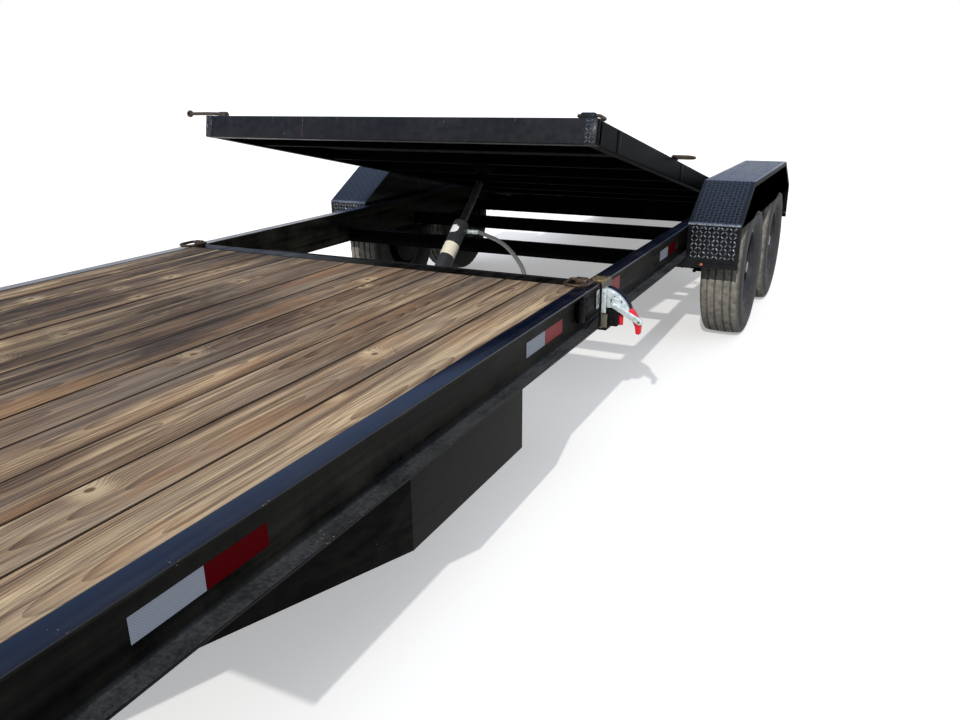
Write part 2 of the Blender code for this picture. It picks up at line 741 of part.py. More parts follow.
def build_jack(looks, datum):
    """The tongue jack: a plate on the beams, the tube with its gear head and crank, and the foot."""
    y = JACK_STATION
    reach = JACK_PLATE_LENGTH / 2
    low = TONGUE_TOP + SEAT
    bottom = JACK_TOP - JACK_TUBE_LENGTH
    shaft_z = JACK_TOP - CRANK_DROP
    grip_z = shaft_z - CRANK_REACH
    tube = JACK_TUBE_RADIUS
    collar = (0, y, low + JACK_COLLAR_RISE)
    head = (0, y, JACK_TOP + JACK_HEAD_WALL)
    shaft_end = CRANK_OUT + CRANK_RADIUS
    shapes = [
        rod((0, y, bottom), (0, y, JACK_TOP), tube, 16),
        tongue_plate(y - reach, y + reach, low, low + JACK_PLATE_THICK),
        rod((0, y, low - JACK_COLLAR_DROP), collar, tube + JACK_COLLAR_WALL, 16),
        rod((0, y, JACK_TOP - JACK_HEAD_HEIGHT), head, tube + JACK_HEAD_WALL, 16),
        rod((CRANK_START, y, shaft_z), (shaft_end, y, shaft_z), CRANK_SHAFT_RADIUS, 12),
        rod((CRANK_OUT, y, shaft_z + CRANK_RADIUS), (CRANK_OUT, y, grip_z - CRANK_RADIUS), CRANK_RADIUS, 12),
        rod((CRANK_OUT, y, grip_z), (CRANK_OUT + CRANK_GRIP_LENGTH, y, grip_z), CRANK_GRIP_RADIUS, 12),
    ]
    depth = bottom + JACK_BORE_DEPTH
    bore = rod((0, y, bottom - WELD), (0, y, depth), JACK_LEG_RADIUS + PIN_RUN, 16)
    part("jack", shapes, looks["satin"], datum, cuts=[bore])
    floor = -DECK_HEIGHT
    half = JACK_FOOT / 2
    leg = [
        rod((0, y, floor + WELD), (0, y, depth - JACK_LEG_GAP), JACK_LEG_RADIUS, 16),
        box((-half, y - half, floor), (half, y + half, floor + JACK_FOOT_THICK)),
    ]
    part("jack_leg", leg, looks["zinc"], datum)


def build_axles(looks, datum):
    """Each axle: the tube, its spring seats, backing plates and spindles."""
    plate = WHEEL_TRACK_HALF - DRUM_BACK - DRUM_PLATE_GAP
    end = plate + WELD
    tip = WHEEL_TRACK_HALF + SPINDLE_OUT
    z = AXLE_HEIGHT
    for name, station in (("front", FRONT_AXLE), ("rear", REAR_AXLE)):
        shapes = [rod((-end, station, z), (end, station, z), AXLE_RADIUS, 16)]
        shapes.append(rod((-tip, station, z), (tip, station, z), SPINDLE_RADIUS, WHEEL_SIDES))
        for side in (-1, 1):
            back = (side * plate, station, z)
            shapes.append(rod(back, (side * (plate + DRUM_PLATE_THICK), station, z), DRUM_RADIUS, 20))
            inner = side * SPRING_X - SPRING_WIDTH / 2
            seat = (inner + SPRING_WIDTH, station + SEAT_PAD_HALF, z + SEAT_PAD_HEIGHT)
            shapes.append(box((inner, station - SEAT_PAD_HALF, z), seat))
        part("axle_" + name, shapes, looks["satin"], datum)


def leaf(station, half, index):
    """One leaf of a spring, bowed down in the middle."""
    centre = AXLE_HEIGHT + SEAT_PAD_HEIGHT + SEAT + (LEAF_COUNT - 1 - index) * LEAF_THICK
    path = []
    for step in range(9):
        along = -half + 2 * half * step / 8
        lift = (SPRING_EYE_HEIGHT - main_leaf_centre()) * (along / (SPRING_LENGTH / 2)) ** 2
        path.append((station + along, centre + lift))
    return strip(path, LEAF_THICK + LEAF_OVERLAP)


def main_leaf_centre():
    """The height of the underside of the main leaf over the axle."""
    return AXLE_HEIGHT + SEAT_PAD_HEIGHT + SEAT + (LEAF_COUNT - 1) * LEAF_THICK


def rocker_outline():
    """The rocker between the two springs of a side, hung from their inner eyes."""
    inner = (AXLE_SPREAD - SPRING_LENGTH) / 2
    low = SPRING_EYE_HEIGHT - ROCKER_SIDE_DROP
    high = SPRING_EYE_HEIGHT + ROCKER_TIP
    return [
        (AXLE_MIDPOINT - inner - ROCKER_TIP, low), (AXLE_MIDPOINT, SPRING_EYE_HEIGHT - ROCKER_DROP),
        (AXLE_MIDPOINT + inner + ROCKER_TIP, low), (AXLE_MIDPOINT + inner, high),
        (AXLE_MIDPOINT, SPRING_EYE_HEIGHT + ROCKER_RISE), (AXLE_MIDPOINT - inner, high),
    ]


def build_springs(looks, datum):
    """Both springs of a side, hung together on the rocker between their inner eyes."""
    for name, side in (("left", 1), ("right", -1)):
        middle = side * SPRING_X
        low = middle - SPRING_WIDTH / 2
        high = middle + SPRING_WIDTH / 2
        shapes = []
        for station in (FRONT_AXLE, REAR_AXLE):
            for index in range(LEAF_COUNT):
                half = SPRING_LENGTH / 2 - LEAF_SHORTER * index
                shapes.append(prism(leaf(station, half, index), "X", low, high))
            for end in (-1, 1):
                eye = station + end * SPRING_LENGTH / 2
                left = (low, eye, SPRING_EYE_HEIGHT)
                shapes.append(rod(left, (high, eye, SPRING_EYE_HEIGHT), SPRING_EYE_RADIUS, 16))
        shapes.append(prism(rocker_outline(), "X", middle - ROCKER_HALF_WIDTH, middle + ROCKER_HALF_WIDTH))
        part("springs_" + name, shapes, looks["satin"], datum)


def tyre_profile():
    """Half of the tyre's outline mirrored to the whole, as (x, radius) points."""
    wide = TYRE_WIDTH / 2
    tread = TREAD_WIDTH / 2
    seat = RIM_WIDTH / 2 - BEAD_SUNK
    half = [
        (seat, BEAD_RADIUS), (seat, BEAD_RADIUS + BEAD_HEIGHT),
        (wide - SHOULDER_STEP, BEAD_RADIUS + WALL_LOW),
        (wide, BEAD_RADIUS + WALL_WIDE), (wide, BEAD_RADIUS + WALL_HIGH),
        (tread + SHOULDER_STEP / 2, TYRE_RADIUS - SHOULDER_DROP),
        (tread - SHOULDER_STEP, TYRE_RADIUS - TREAD_EDGE_DROP), (TREAD_CROWN / 2, TYRE_RADIUS),
    ]
    return half + [(-x, radius) for x, radius in reversed(half)]


def wheel_profile():
    """The painted wheel with its drum and hub, from the end of the spindle's bore round to the cap."""
    lip = RIM_WIDTH / 2 + RIM_LIP
    seat = RIM_WIDTH / 2 - BEAD_SUNK + SEAT
    top = BEAD_RADIUS - SEAT
    inside = top - RIM_WALL
    flange = top + RIM_FLANGE
    bore = SPINDLE_RADIUS + PIN_RUN
    bore_end = SPINDLE_OUT + WELD
    drum = DRUM_WIDTH - DRUM_BACK
    cap = HUB_OUT + HUB_CAP_LENGTH
    return [
        (bore_end, 0), (bore_end, bore), (-DRUM_BACK, bore), (-DRUM_BACK, DRUM_RADIUS),
        (drum, DRUM_RADIUS), (drum, HUB_RADIUS),
        (DISC_FACE - DISC_THICK, HUB_RADIUS), (DISC_FACE - DISC_THICK, DISC_PAD_RADIUS),
        (DISC_BOWL - DISC_THICK, DISC_BOWL_RADIUS), (DISC_CROWN - DISC_THICK, DISC_CROWN_RADIUS),
        (DISC_EDGE - DISC_THICK, inside), (-lip, inside), (-lip, flange), (-seat, flange), (-seat, top),
        (seat, top), (seat, flange), (lip, flange), (lip, inside), (DISC_EDGE, inside - WELD),
        (DISC_CROWN, DISC_CROWN_RADIUS), (DISC_BOWL, DISC_BOWL_RADIUS), (DISC_FACE, DISC_PAD_RADIUS),
        (DISC_FACE, HUB_RADIUS), (HUB_OUT, HUB_RADIUS), (cap, HUB_RADIUS - HUB_CAP_DROP), (cap, 0),
    ]


def hand_holes():
    """The cutters of the holes in a wheel's disc, each between two of the wheel's facets' corners."""
    cuts = []
    for step in range(HAND_HOLE_COUNT):
        angle = math.tau * (step + 0.5) / HAND_HOLE_COUNT
        y = HAND_HOLE_RING * math.cos(angle)
        z = HAND_HOLE_RING * math.sin(angle)
        start = (DISC_FACE - DISC_THICK, y, z)
        cuts.append(rod(start, (DISC_CROWN + DISC_THICK, y, z), HAND_HOLE_RADIUS, 8))
    return cuts


def build_wheels(looks, datum):
    """The wheels: each a tyre and a painted wheel with its hub and drum, on an empty at its spindle."""
    for place, station in (("front", FRONT_AXLE), ("rear", REAR_AXLE)):
        for name, side in (("left", 1), ("right", -1)):
            label = place + "_" + name
            hub = bpy.data.objects.new("spindle_" + label, None)
            hub.location = (side * WHEEL_TRACK_HALF, station, AXLE_HEIGHT)
            hub.rotation_euler = (0, 0, 0 if side == 1 else math.pi)
            hub.parent = datum
            bpy.context.scene.collection.objects.link(hub)
            part("tyre_" + label, [turned(tyre_profile(), WHEEL_SIDES)], looks["rubber"], hub)
            wheel = turned(wheel_profile(), WHEEL_SIDES)
            part("wheel_" + label, [wheel], looks["rim"], hub, cuts=hand_holes())


def fender_path():
    """The outside of a fender from its front skirt over the top to its rear skirt."""
    front = AXLE_MIDPOINT - FENDER_HALF_LENGTH
    rear = AXLE_MIDPOINT + FENDER_HALF_LENGTH
    return [
        (front, FENDER_SKIRT), (front, FENDER_SHOULDER), (front + FENDER_SLOPE_RUN, FENDER_TOP),
        (rear - FENDER_SLOPE_RUN, FENDER_TOP), (rear, FENDER_SHOULDER), (rear, FENDER_SKIRT),
    ]


def build_fenders(looks, datum):
    """Each fender: the bent sheet, its inboard panel, the rolled lip and the shelves at its feet."""
    path = fender_path()
    inner = FENDER_INNER
    outer = inner + FENDER_WIDTH
    within = offset(path, -FENDER_SHEET / 2)
    panel = [(within[0][0], FENDER_PANEL_BOTTOM)] + within[1:-1] + [(within[-1][0], FENDER_PANEL_BOTTOM)]
    shelf_top = -RAIL_DEPTH - SEAT
    for name, side in (("left", 1), ("right", -1)):
        shapes = [
            prism(strip(path, -FENDER_SHEET), "X", side * inner, side * outer),
            prism(panel, "X", side * inner, side * (inner + FENDER_SHEET)),
            prism(strip(within, -FENDER_LIP), "X", side * (outer - FENDER_SHEET), side * outer),
        ]
        for foot, way in ((path[0][0], 1), (path[-1][0], -1)):
            shelf = [(foot, shelf_top - SHELF_LIP), (foot, shelf_top), (foot + way * SHELF_DEPTH, shelf_top)]
            shapes.append(prism(strip(shelf, -way * FENDER_SHEET), "X", side * WEB_OUTER, side * outer))
        part("fender_" + name, shapes, looks["black"], datum)
        rear = path[-1][0] + SEAT
        far = side * (outer - LAMP_INSET)
        near = far - side * LAMP_WIDTH
        low = (near, rear, LAMP_TOP - LAMP_HEIGHT)
        part("tail_lamp_" + name, [box(low, (far, rear + LAMP_DEPTH, LAMP_TOP))], looks["red"], datum)


def lug_outline():
    """A pivot lug under the bed's rail, round below."""
    top = -BED_DEPTH + WELD
    turn = [math.pi + math.pi * step / 8 for step in range(9)]
    arc = [(PIVOT.y + LUG_RADIUS * math.cos(a), PIVOT.z + LUG_RADIUS * math.sin(a)) for a in turn]
    reach = LUG_RADIUS + LUG_FLARE
    return [(PIVOT.y - reach, top)] + arc + [(PIVOT.y + reach, top)]


def build_bed_frame(looks, bed):
    """The bed's side rails with their pivot lugs, its header and its knife-edge tail."""
    front = BED_FRONT + BED_FLANGE + SEAT
    rear = BED_REAR - TAIL_LENGTH - SEAT
    outline = channel(BED_DEPTH, BED_FLANGE, BED_WALL, BED_WALL)
    bore = rod((-BED_HALF, PIVOT.y, PIVOT.z), (BED_HALF, PIVOT.y, PIVOT.z), PIVOT_RADIUS + PIN_RUN, 24)
    for name, side in (("left", 1), ("right", -1)):
        rail = prism(placed(outline, side * BED_HALF, -BED_DEPTH, -side), "Y", front, rear)
        tip = BED_HALF - BED_FLANGE + LUG_LAP
        lug = prism(lug_outline(), "X", side * tip, side * (tip + LUG_THICK))
        part("bed_rail_" + name, [rail, lug], looks["black"], bed, cuts=[bore.copy()], origin=PIVOT)
    bore.free()
    face = placed(outline, BED_FRONT, -BED_DEPTH)
    part("bed_header", [prism(face, "X", -BED_HALF, BED_HALF)], looks["satin"], bed, origin=PIVOT)
    start = BED_REAR - TAIL_LENGTH
    floor = -BED_DEPTH
    ramp = [(start, 0), (BED_REAR, floor + TAIL_TIP), (BED_REAR, floor + WELD), (start, -TAIL_PLATE)]
    shapes = [
        prism(ramp, "X", -BED_HALF, BED_HALF),
        box((-BED_HALF, start, floor), (BED_HALF, start + TAIL_PLATE, -WELD)),
        box((-BED_HALF, BED_REAR - TAIL_LIP, floor), (BED_HALF, BED_REAR, floor + TAIL_TIP)),
    ]
    end = BED_REAR - TAIL_RIB_END
    rib = [
        (start + WELD, -TAIL_PLATE / 2), (end, floor + TAIL_RIB_END), (end, floor + WELD),
        (start + WELD, floor + WELD),
    ]
    reach = BED_HALF - TAIL_PLATE / 2 - WELD
    for x in stations(-reach, reach, TAIL_RIBS):
        shapes.append(prism(rib, "X", x - TAIL_PLATE / 2, x + TAIL_PLATE / 2))
    part("bed_tail", shapes, looks["black"], bed, origin=PIVOT)


def build_bed_deck(looks, bed):
    """The bed's boards on their joists, with the ears that the cylinder lifts by."""
    inside = BED_HALF - BED_FLANGE - SEAT
    front = BED_FRONT + BED_FLANGE + SEAT
    rear = BED_REAR - TAIL_LENGTH - SEAT
    depth = BED_DEPTH - BED_WALL - SEAT - BOARD_THICK
    places = stations(front + BED_JOIST_FIRST, rear - BED_JOIST_LAST, BED_JOIST_COUNT)
    shapes = joist_shapes(BED_HALF - BED_WALL - SEAT, depth, places)
    shapes += board_shapes(inside, front, rear, BOARD_COUNT)
    back = max(place for place in places if place < EYE_LEVEL.y) - JOIST_WIDTH / 2
    top = -BOARD_THICK
    rear = EYE_LEVEL.y + EYE_RADIUS
    low = EYE_LEVEL.z - EYE_RADIUS
    outline = [
        (back, top), (rear, top), (rear, low + EAR_CORNER), (rear - EAR_CORNER, low),
        (EYE_LEVEL.y - EAR_CORNER, low), (back, top - depth),
    ]
    for side in (-1, 1):
        face = side * (EYE_WIDTH / 2 + PIN_RUN)
        shapes.append(prism(outline, "X", face, face + side * EAR_THICK))
    part("bed_deck", shapes, looks["wood"], bed, origin=PIVOT)


def build_cylinder(looks, swivel):
    """The cushion cylinder's tube, drawn along Y from its foot, and its rod with the eye."""
    foot = EYE_RADIUS
    half = EYE_WIDTH / 2
    gland = TUBE_LENGTH - GLAND_LENGTH
    tube = turned([
        (TUBE_BORE_START, 0), (TUBE_BORE_START, ROD_RADIUS + PIN_RUN), (TUBE_LENGTH, ROD_RADIUS + PIN_RUN),
        (TUBE_LENGTH, TUBE_RADIUS + GLAND_STEP), (gland, TUBE_RADIUS + GLAND_STEP), (gland, TUBE_RADIUS),
        (TUBE_START, TUBE_RADIUS), (TUBE_START, 0),
    ], 28)
    tube.transform(Matrix.Rotation(math.pi / 2, 4, "Z"))
    port_end = (TUBE_RADIUS + PORT_REACH, HOSE_PORT, 0)
    shapes = [
        rod((-half, 0, 0), (half, 0, 0), foot, 20),
        box((-NECK_HALF, NECK_START, -NECK_HALF), (NECK_HALF, TUBE_START + NECK_START, NECK_HALF)),
        tube,
        rod((TUBE_RADIUS - PORT_SUNK, HOSE_PORT, 0), port_end, PORT_RADIUS, 12),
    ]
    bore = rod((-foot, 0, 0), (foot, 0, 0), PIN_RADIUS + PIN_RUN, 20)
    part("cylinder_tube", shapes, looks["satin"], swivel, cuts=[bore])
    slide = bpy.data.objects.new("rod_slide", None)
    slide.location = (0, CYL_REACH, 0)
    slide.parent = swivel
    bpy.context.scene.collection.objects.link(slide)
    shapes = [
        rod((0, TUBE_LENGTH - ROD_OVERLAP - CYL_REACH, 0), (0, PIN_RADIUS - EYE_RADIUS, 0), ROD_RADIUS, 20),
        rod((-half, 0, 0), (half, 0, 0), EYE_RADIUS, 20),
    ]
    part("cylinder_rod", shapes, looks["chrome"], slide)


def smooth(points, steps):
    """A smooth curve through points, read at even steps between each two."""
    ends = [Vector(point) for point in points]
    ends = [2 * ends[0] - ends[1]] + ends + [2 * ends[-1] - ends[-2]]
    curve = []
    for a, b, c, d in zip(ends, ends[1:], ends[2:], ends[3:]):
        for step in range(steps):
            t = step / steps
            square = (2 * a - 5 * b + 4 * c - d) * t ** 2
            cube = (3 * b - a - 3 * c + d) * t ** 3
            curve.append((2 * b + (c - a) * t + square + cube) / 2)
    return curve + [ends[-2]]


def build_hose(looks, datum):
    """The oil hose from the port on the cylinder's side to the fitting under the front crossmember."""
    turn = Matrix.Rotation(CYL_ANGLE, 3, "X")
    port = CYL_BASE + turn @ Vector((TUBE_RADIUS + PORT_REACH + SEAT, HOSE_PORT, 0))
    foot = Vector((HOSE_END_X, CYL_BASE.y, CYL_BASE.z + SEAT))
    out = Vector((HOSE_STRAIGHT, 0, 0))
    up = Vector((0, 0, HOSE_STRAIGHT))
    route = [port, port + out, port + 2 * out] + [Vector(point) for point in HOSE_ROUTE]
    route += [foot + 2 * up, foot + up, foot]
    curve = bpy.data.curves.new("hose", "CURVE")
    curve.dimensions = "3D"
    curve.bevel_depth = HOSE_RADIUS
    curve.bevel_resolution = 2
    curve.use_fill_caps = True
    points = smooth(route, 3)
    spline = curve.splines.new("POLY")
    spline.points.add(len(points) - 1)
    for slot, point in zip(spline.points, points):
        slot.co = (*point, 1)
    hose = bpy.data.objects.new("hose", curve)
    curve.materials.append(looks["hose"])
    hose.parent = datum
    bpy.context.scene.collection.objects.link(hose)


def build_latch(looks, datum):
    """The bed latch on the left rail: post, bracket with its curved cover, lever, block and pin housing."""
    face = FRAME_HALF + SEAT
    low = LATCH_STATION - LATCH_POST_WIDTH / 2
    high = LATCH_STATION + LATCH_POST_WIDTH / 2
    top = LATCH_POST_THICK + SEAT
    post = [
        (face, -RAIL_DEPTH), (face + LATCH_POST_THICK, -RAIL_DEPTH), (face + LATCH_POST_THICK, top),
        (WEB_OUTER, top), (WEB_OUTER, SEAT), (face, SEAT),
    ]
    part("latch_post", [prism(post, "Y", low, high)], looks["rust"], datum)
    start = face + LATCH_POST_THICK + SEAT
    near = low + LATCH_COVER_INSET
    far = high - LATCH_COVER_INSET
    curve = [(start + across, -down) for across, down in LATCH_COVER_CURVE]
    cheek = curve + [(start, -LATCH_COVER_BOTTOM)]
    back = box((start, near, -LATCH_PLATE_BOTTOM), (start + LATCH_SHEET, far, curve[0][1]))
    cover = prism(strip(curve, -LATCH_SHEET), "Y", near, far)
    cheeks = [prism(cheek, "Y", y, y + LATCH_SHEET) for y in (near, far - LATCH_SHEET)]
    part("latch_bracket", [back, cover] + cheeks, looks["zinc"], datum)
    bar = [(start + across, -down) for across, down in LATCH_BAR_OUTLINE]
    grip = [(start + across, -down) for across, down in LATCH_GRIP_OUTLINE]
    shapes = [
        prism(bar, "Y", near - SEAT - LATCH_BAR_THICK, near - SEAT),
        prism(grip, "Y", near - SEAT - LATCH_BAR_THICK / 2, LATCH_STATION + LATCH_GRIP_HALF),
    ]
    part("latch_lever", shapes, looks["zinc"], datum)
    inner = start + LATCH_SHEET + SEAT
    block = box(
        (inner, near + LATCH_SHEET + RUN, -LATCH_BLOCK_BOTTOM),
        (inner + LATCH_BLOCK_REACH, far - LATCH_SHEET - RUN, -LATCH_BLOCK_TOP),
    )
    part("latch_block", [block], looks["satin"], datum)
    centre = WEB_OUTER + SEAT + LATCH_PIN_RADIUS
    station = LATCH_STATION - LATCH_PIN_SETBACK
    capsule = rod((centre, station, -LATCH_PIN_BOTTOM), (centre, station, -LATCH_PIN_TOP), LATCH_PIN_RADIUS)
    part("latch_housing", [capsule], looks["satin"], datum)


def ring_shapes(place, turn):
    """A D ring lying flat and the strap over its straight bar, the bow pointing along Y until turned."""
    reach = RING_INNER + RING_BAR
    height = RING_LIFT + RING_BAR
    turns = [math.pi * step / 6 for step in range(7)]
    bow = [(reach * math.cos(a), RING_LENGTH - reach + reach * math.sin(a), height) for a in turns]
    ring = bent_bar([(-reach, 0, height), (reach, 0, height)] + bow, RING_BAR, 6, closed=True)
    low = (-STRAP_HALF_WIDTH, -STRAP_HALF_LENGTH, 0)
    strap = box(low, (STRAP_HALF_WIDTH, STRAP_HALF_LENGTH, height + RING_BAR + STRAP_WALL))
    for shape in (ring, strap):
        shape.transform(Matrix.Translation(place) @ turn)
    return [strap, ring]


def build_rings(looks, datum, bed):
    """The tie rings at the fixed deck's rear corners and on the bed, and the eye bar at one front corner."""
    rust = looks["rust"]
    forward = Matrix.Rotation(math.pi, 4, "Z")
    for name, side in (("left", 1), ("right", -1)):
        outward = Matrix.Rotation(-math.pi / 2 * side, 4, "Z")
        fixed = Vector((side * (FRAME_HALF - RING_INSET), -DECK_RING_STATION, SEAT))
        part("tie_ring_" + name, ring_shapes(fixed, forward), rust, datum)
        along = Vector((side * (BED_HALF - STRAP_HALF_LENGTH), BED_RING_SIDE, SEAT))
        part("bed_ring_side_" + name, ring_shapes(along, outward), rust, bed, origin=PIVOT)
    corner = Vector((BED_HALF - RING_INNER - 2 * RING_BAR, BED_RING_FRONT, SEAT))
    part("bed_ring_front", ring_shapes(corner, Matrix.Identity(4)), rust, bed, origin=PIVOT)
    inner = -BED_HALF + EYE_BAR_INSET
    tip = inner - EYE_BAR_LENGTH
    height = SEAT + RING_LIFT + RING_BAR
    top = height + RING_BAR + STRAP_WALL
    low = (inner - STRAP_HALF_WIDTH, BED_RING_FRONT - STRAP_HALF_LENGTH, SEAT)
    high = (inner + STRAP_HALF_WIDTH, BED_RING_FRONT + STRAP_HALF_LENGTH, top)
    half = EYE_BAR_THICK / 2
    shapes = [
        box(low, high),
        rod((inner, BED_RING_FRONT, height), (tip, BED_RING_FRONT, height), RING_BAR, 10),
        rod((tip, BED_RING_FRONT - half, height), (tip, BED_RING_FRONT + half, height), EYE_BAR_RADIUS, 16),
    ]
    near = BED_RING_FRONT - EYE_BAR_THICK
    far = BED_RING_FRONT + EYE_BAR_THICK
    hole = rod((tip, near, height), (tip, far, height), EYE_BAR_HOLE, 12)
    part("bed_eye_bar", shapes, rust, bed, cuts=[hole], origin=PIVOT)


def empty(name, location, angle, parent):
    """A joint's frame: an empty at the pivot, turned about X."""
    made = bpy.data.objects.new(name, None)
    made.location = location
    made.rotation_euler = (angle, 0, 0)
    made.parent = parent
    bpy.context.scene.collection.objects.link(made)
    return made


def main():
    for stale in list(bpy.data.objects):
        bpy.data.objects.remove(stale)
    looks = make_looks()
    datum = empty("deck_datum", (0, -JACK_STATION, DECK_HEIGHT), 0, None)
    bed = empty("bed_pivot", PIVOT, -BED_TILT, datum)
    swivel = empty("cylinder_swivel", CYL_BASE, CYL_ANGLE, datum)
    build_rails(looks, datum)
    build_front_header(looks, datum)
    build_fixed_deck(looks, datum)
    build_crossmembers(looks, datum)
    build_pivot_shaft(looks, datum)
    build_tongue(looks, datum)
    build_coupler(looks, datum)
    build_jack(looks, datum)
    build_axles(looks, datum)
    build_springs(looks, datum)
    build_wheels(looks, datum)
    build_fenders(looks, datum)
    build_latch(looks, datum)
    build_bed_frame(looks, bed)
    build_bed_deck(looks, bed)
    build_cylinder(looks, swivel)
    build_hose(looks, datum)
    build_rings(looks, datum, bed)


main()
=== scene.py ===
"""The looks of the tilt-bed trailer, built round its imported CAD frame."""
import json
import math
import random

import bmesh
import bpy
from mathutils import Matrix, Vector

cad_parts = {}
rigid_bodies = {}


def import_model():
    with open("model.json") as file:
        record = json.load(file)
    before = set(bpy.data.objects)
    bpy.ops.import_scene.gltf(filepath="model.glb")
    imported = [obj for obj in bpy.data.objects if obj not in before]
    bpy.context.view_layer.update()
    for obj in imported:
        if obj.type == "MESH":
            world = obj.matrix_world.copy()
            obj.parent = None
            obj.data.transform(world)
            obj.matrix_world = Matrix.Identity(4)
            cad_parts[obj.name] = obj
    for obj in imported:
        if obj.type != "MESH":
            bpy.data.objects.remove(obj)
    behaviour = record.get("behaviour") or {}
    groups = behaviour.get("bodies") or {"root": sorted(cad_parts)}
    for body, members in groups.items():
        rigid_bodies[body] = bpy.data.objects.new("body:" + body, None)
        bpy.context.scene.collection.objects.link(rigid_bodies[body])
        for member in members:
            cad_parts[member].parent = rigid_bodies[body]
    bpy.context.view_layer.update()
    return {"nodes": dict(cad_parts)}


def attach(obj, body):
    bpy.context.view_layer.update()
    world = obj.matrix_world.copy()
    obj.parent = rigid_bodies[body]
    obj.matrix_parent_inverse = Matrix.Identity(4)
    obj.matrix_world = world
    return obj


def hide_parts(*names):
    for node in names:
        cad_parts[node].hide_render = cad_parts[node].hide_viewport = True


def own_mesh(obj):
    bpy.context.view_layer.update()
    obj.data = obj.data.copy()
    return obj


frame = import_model()

# Places, in metres. A piece is drawn from the deck datum, the bed's pieces as on a level bed.
DECK = Matrix.Translation((0, 3.3, 0.69))
BED_TILT = math.radians(11.1)
PIVOT = Vector((0, 3.05, -0.14))
BED = DECK @ Matrix.Translation(PIVOT) @ Matrix.Rotation(-BED_TILT, 4, "X") @ Matrix.Translation(-PIVOT)
CYL_BASE = Vector((0, 0.45, -0.275))
CYL_ANGLE = math.radians(40.814354)
CYLINDER = DECK @ Matrix.Translation(CYL_BASE) @ Matrix.Rotation(CYL_ANGLE, 4, "X")
FRAME_HALF = 1.009
WEB_OUTER = 0.956
WEB_INNER = 0.9505
BED_HALF = 0.9445
RAIL_DEPTH = 0.178
DECK_FRONT = -2.438
FRONT_AXLE = 1.96
REAR_AXLE = 2.87
AXLE_HEIGHT = -0.301
TRACK_HALF = 1.165
FENDER_INNER = 1.0093
FENDER_OUTER = 1.2773
FENDER_FEET = (1.42, 3.41)
BOARDS = 13
BOARD_GAP = 0.004
BOARD_THICK = 0.038
FIXED_INSIDE = 0.9502
BED_INSIDE = 0.9042
BED_END = 5.7607
BED_DEPTH = 0.096
BED_FRONT = 0.015
SPRING_HALF = 0.3275
SPRING_EYE = -0.206
MAST_FRONT = -3.616
ROD_REACH = 0.78475
JACK_PLACE = -3.300
FLOOR = -0.69
SIDES = (("left", 1), ("right", -1))
AXLES = (("front", FRONT_AXLE), ("rear", REAR_AXLE))
DRAWN_ON = {"root": DECK, "tilt_bed": BED, "cylinder": CYLINDER, "cylinder_piston": CYLINDER}


def linear(code):
    """An sRGB hex value as the linear colour that a shader reads."""
    parts = [int(code[place:place + 2], 16) / 255 for place in (1, 3, 5)]
    return [part / 12.92 if part <= 0.04045 else ((part + 0.055) / 1.055) ** 2.4 for part in parts] + [1.0]


def add(tree, kind, inputs=None, stops=None, **settings):
    """Adds one node with its settings, its constants and the links into it."""
    made = tree.nodes.new(kind)
    for name, value in settings.items():
        setattr(made, name, value)
    if stops:
        ramp = made.color_ramp
        ramp.elements[0].position, ramp.elements[1].position = stops[0][0], stops[-1][0]
        ramp.elements[0].color, ramp.elements[1].color = linear(stops[0][1]), linear(stops[-1][1])
        for place, code in stops[1:-1]:
            ramp.elements.new(place).color = linear(code)
    for socket, value in (inputs or {}).items():
        if isinstance(value, bpy.types.NodeSocket):
            tree.links.new(value, made.inputs[socket])
        else:
            made.inputs[socket].default_value = value
    return made


def begin(name):
    """A new material, its node tree, its shader and the object's coordinates."""
    made = bpy.data.materials.new(name)
    made.use_nodes = True
    place = add(made.node_tree, "ShaderNodeTexCoord").outputs["Object"]
    return made, made.node_tree, made.node_tree.nodes["Principled BSDF"], place


def join(tree, shader, **sockets):
    """Links outputs, or writes constants, to the shader's sockets."""
    for name, value in sockets.items():
        socket = shader.inputs[name.replace("_", " ")]
        if isinstance(value, bpy.types.NodeSocket):
            tree.links.new(value, socket)
        else:
            socket.default_value = value


# Materials

def noise(tree, at, scale, detail, rough=0.5, stretch=None, shift=(0, 0, 0), **more):
    """The value of a noise texture, along stretched axes where it is asked for."""
    at = mapped(tree, at, stretch, shift) if stretch else at
    inputs = {"Vector": at, "Scale": scale, "Detail": detail, "Roughness": rough, **more}
    return add(tree, "ShaderNodeTexNoise", inputs).outputs["Fac"]


def mapped(tree, at, stretch=(1, 1, 1), shift=(0, 0, 0), turn=(0, 0, 0)):
    """Coordinates scaled, moved and turned."""
    inputs = {"Vector": at, "Scale": stretch, "Location": shift, "Rotation": turn}
    return add(tree, "ShaderNodeMapping", inputs).outputs[0]


def maths(tree, way, *values):
    """The result of one sum on values."""
    return add(tree, "ShaderNodeMath", dict(enumerate(values)), operation=way).outputs[0]


def vectors(tree, way, *values):
    """The result of one sum on vectors, or the length of one."""
    made = add(tree, "ShaderNodeVectorMath", dict(enumerate(values)), operation=way)
    return made.outputs["Value" if way == "LENGTH" else "Vector"]


def ranged(tree, value, start, end, low=0.0, high=1.0, way="LINEAR"):
    """A value moved from one range into another."""
    inputs = {"Value": value, "From Min": start, "From Max": end, "To Min": low, "To Max": high}
    return add(tree, "ShaderNodeMapRange", inputs, interpolation_type=way).outputs[0]


def blend(tree, factor, first, second):
    """A colour between two others, which are sockets, linear colours or hex values."""
    first, second = [linear(colour) if isinstance(colour, str) else colour for colour in (first, second)]
    return add(tree, "ShaderNodeMix", {0: factor, 6: first, 7: second}, data_type="RGBA").outputs[2]


def ramp(tree, value, *stops):
    """A colour ramp."""
    return add(tree, "ShaderNodeValToRGB", {"Fac": value}, stops=stops).outputs[0]


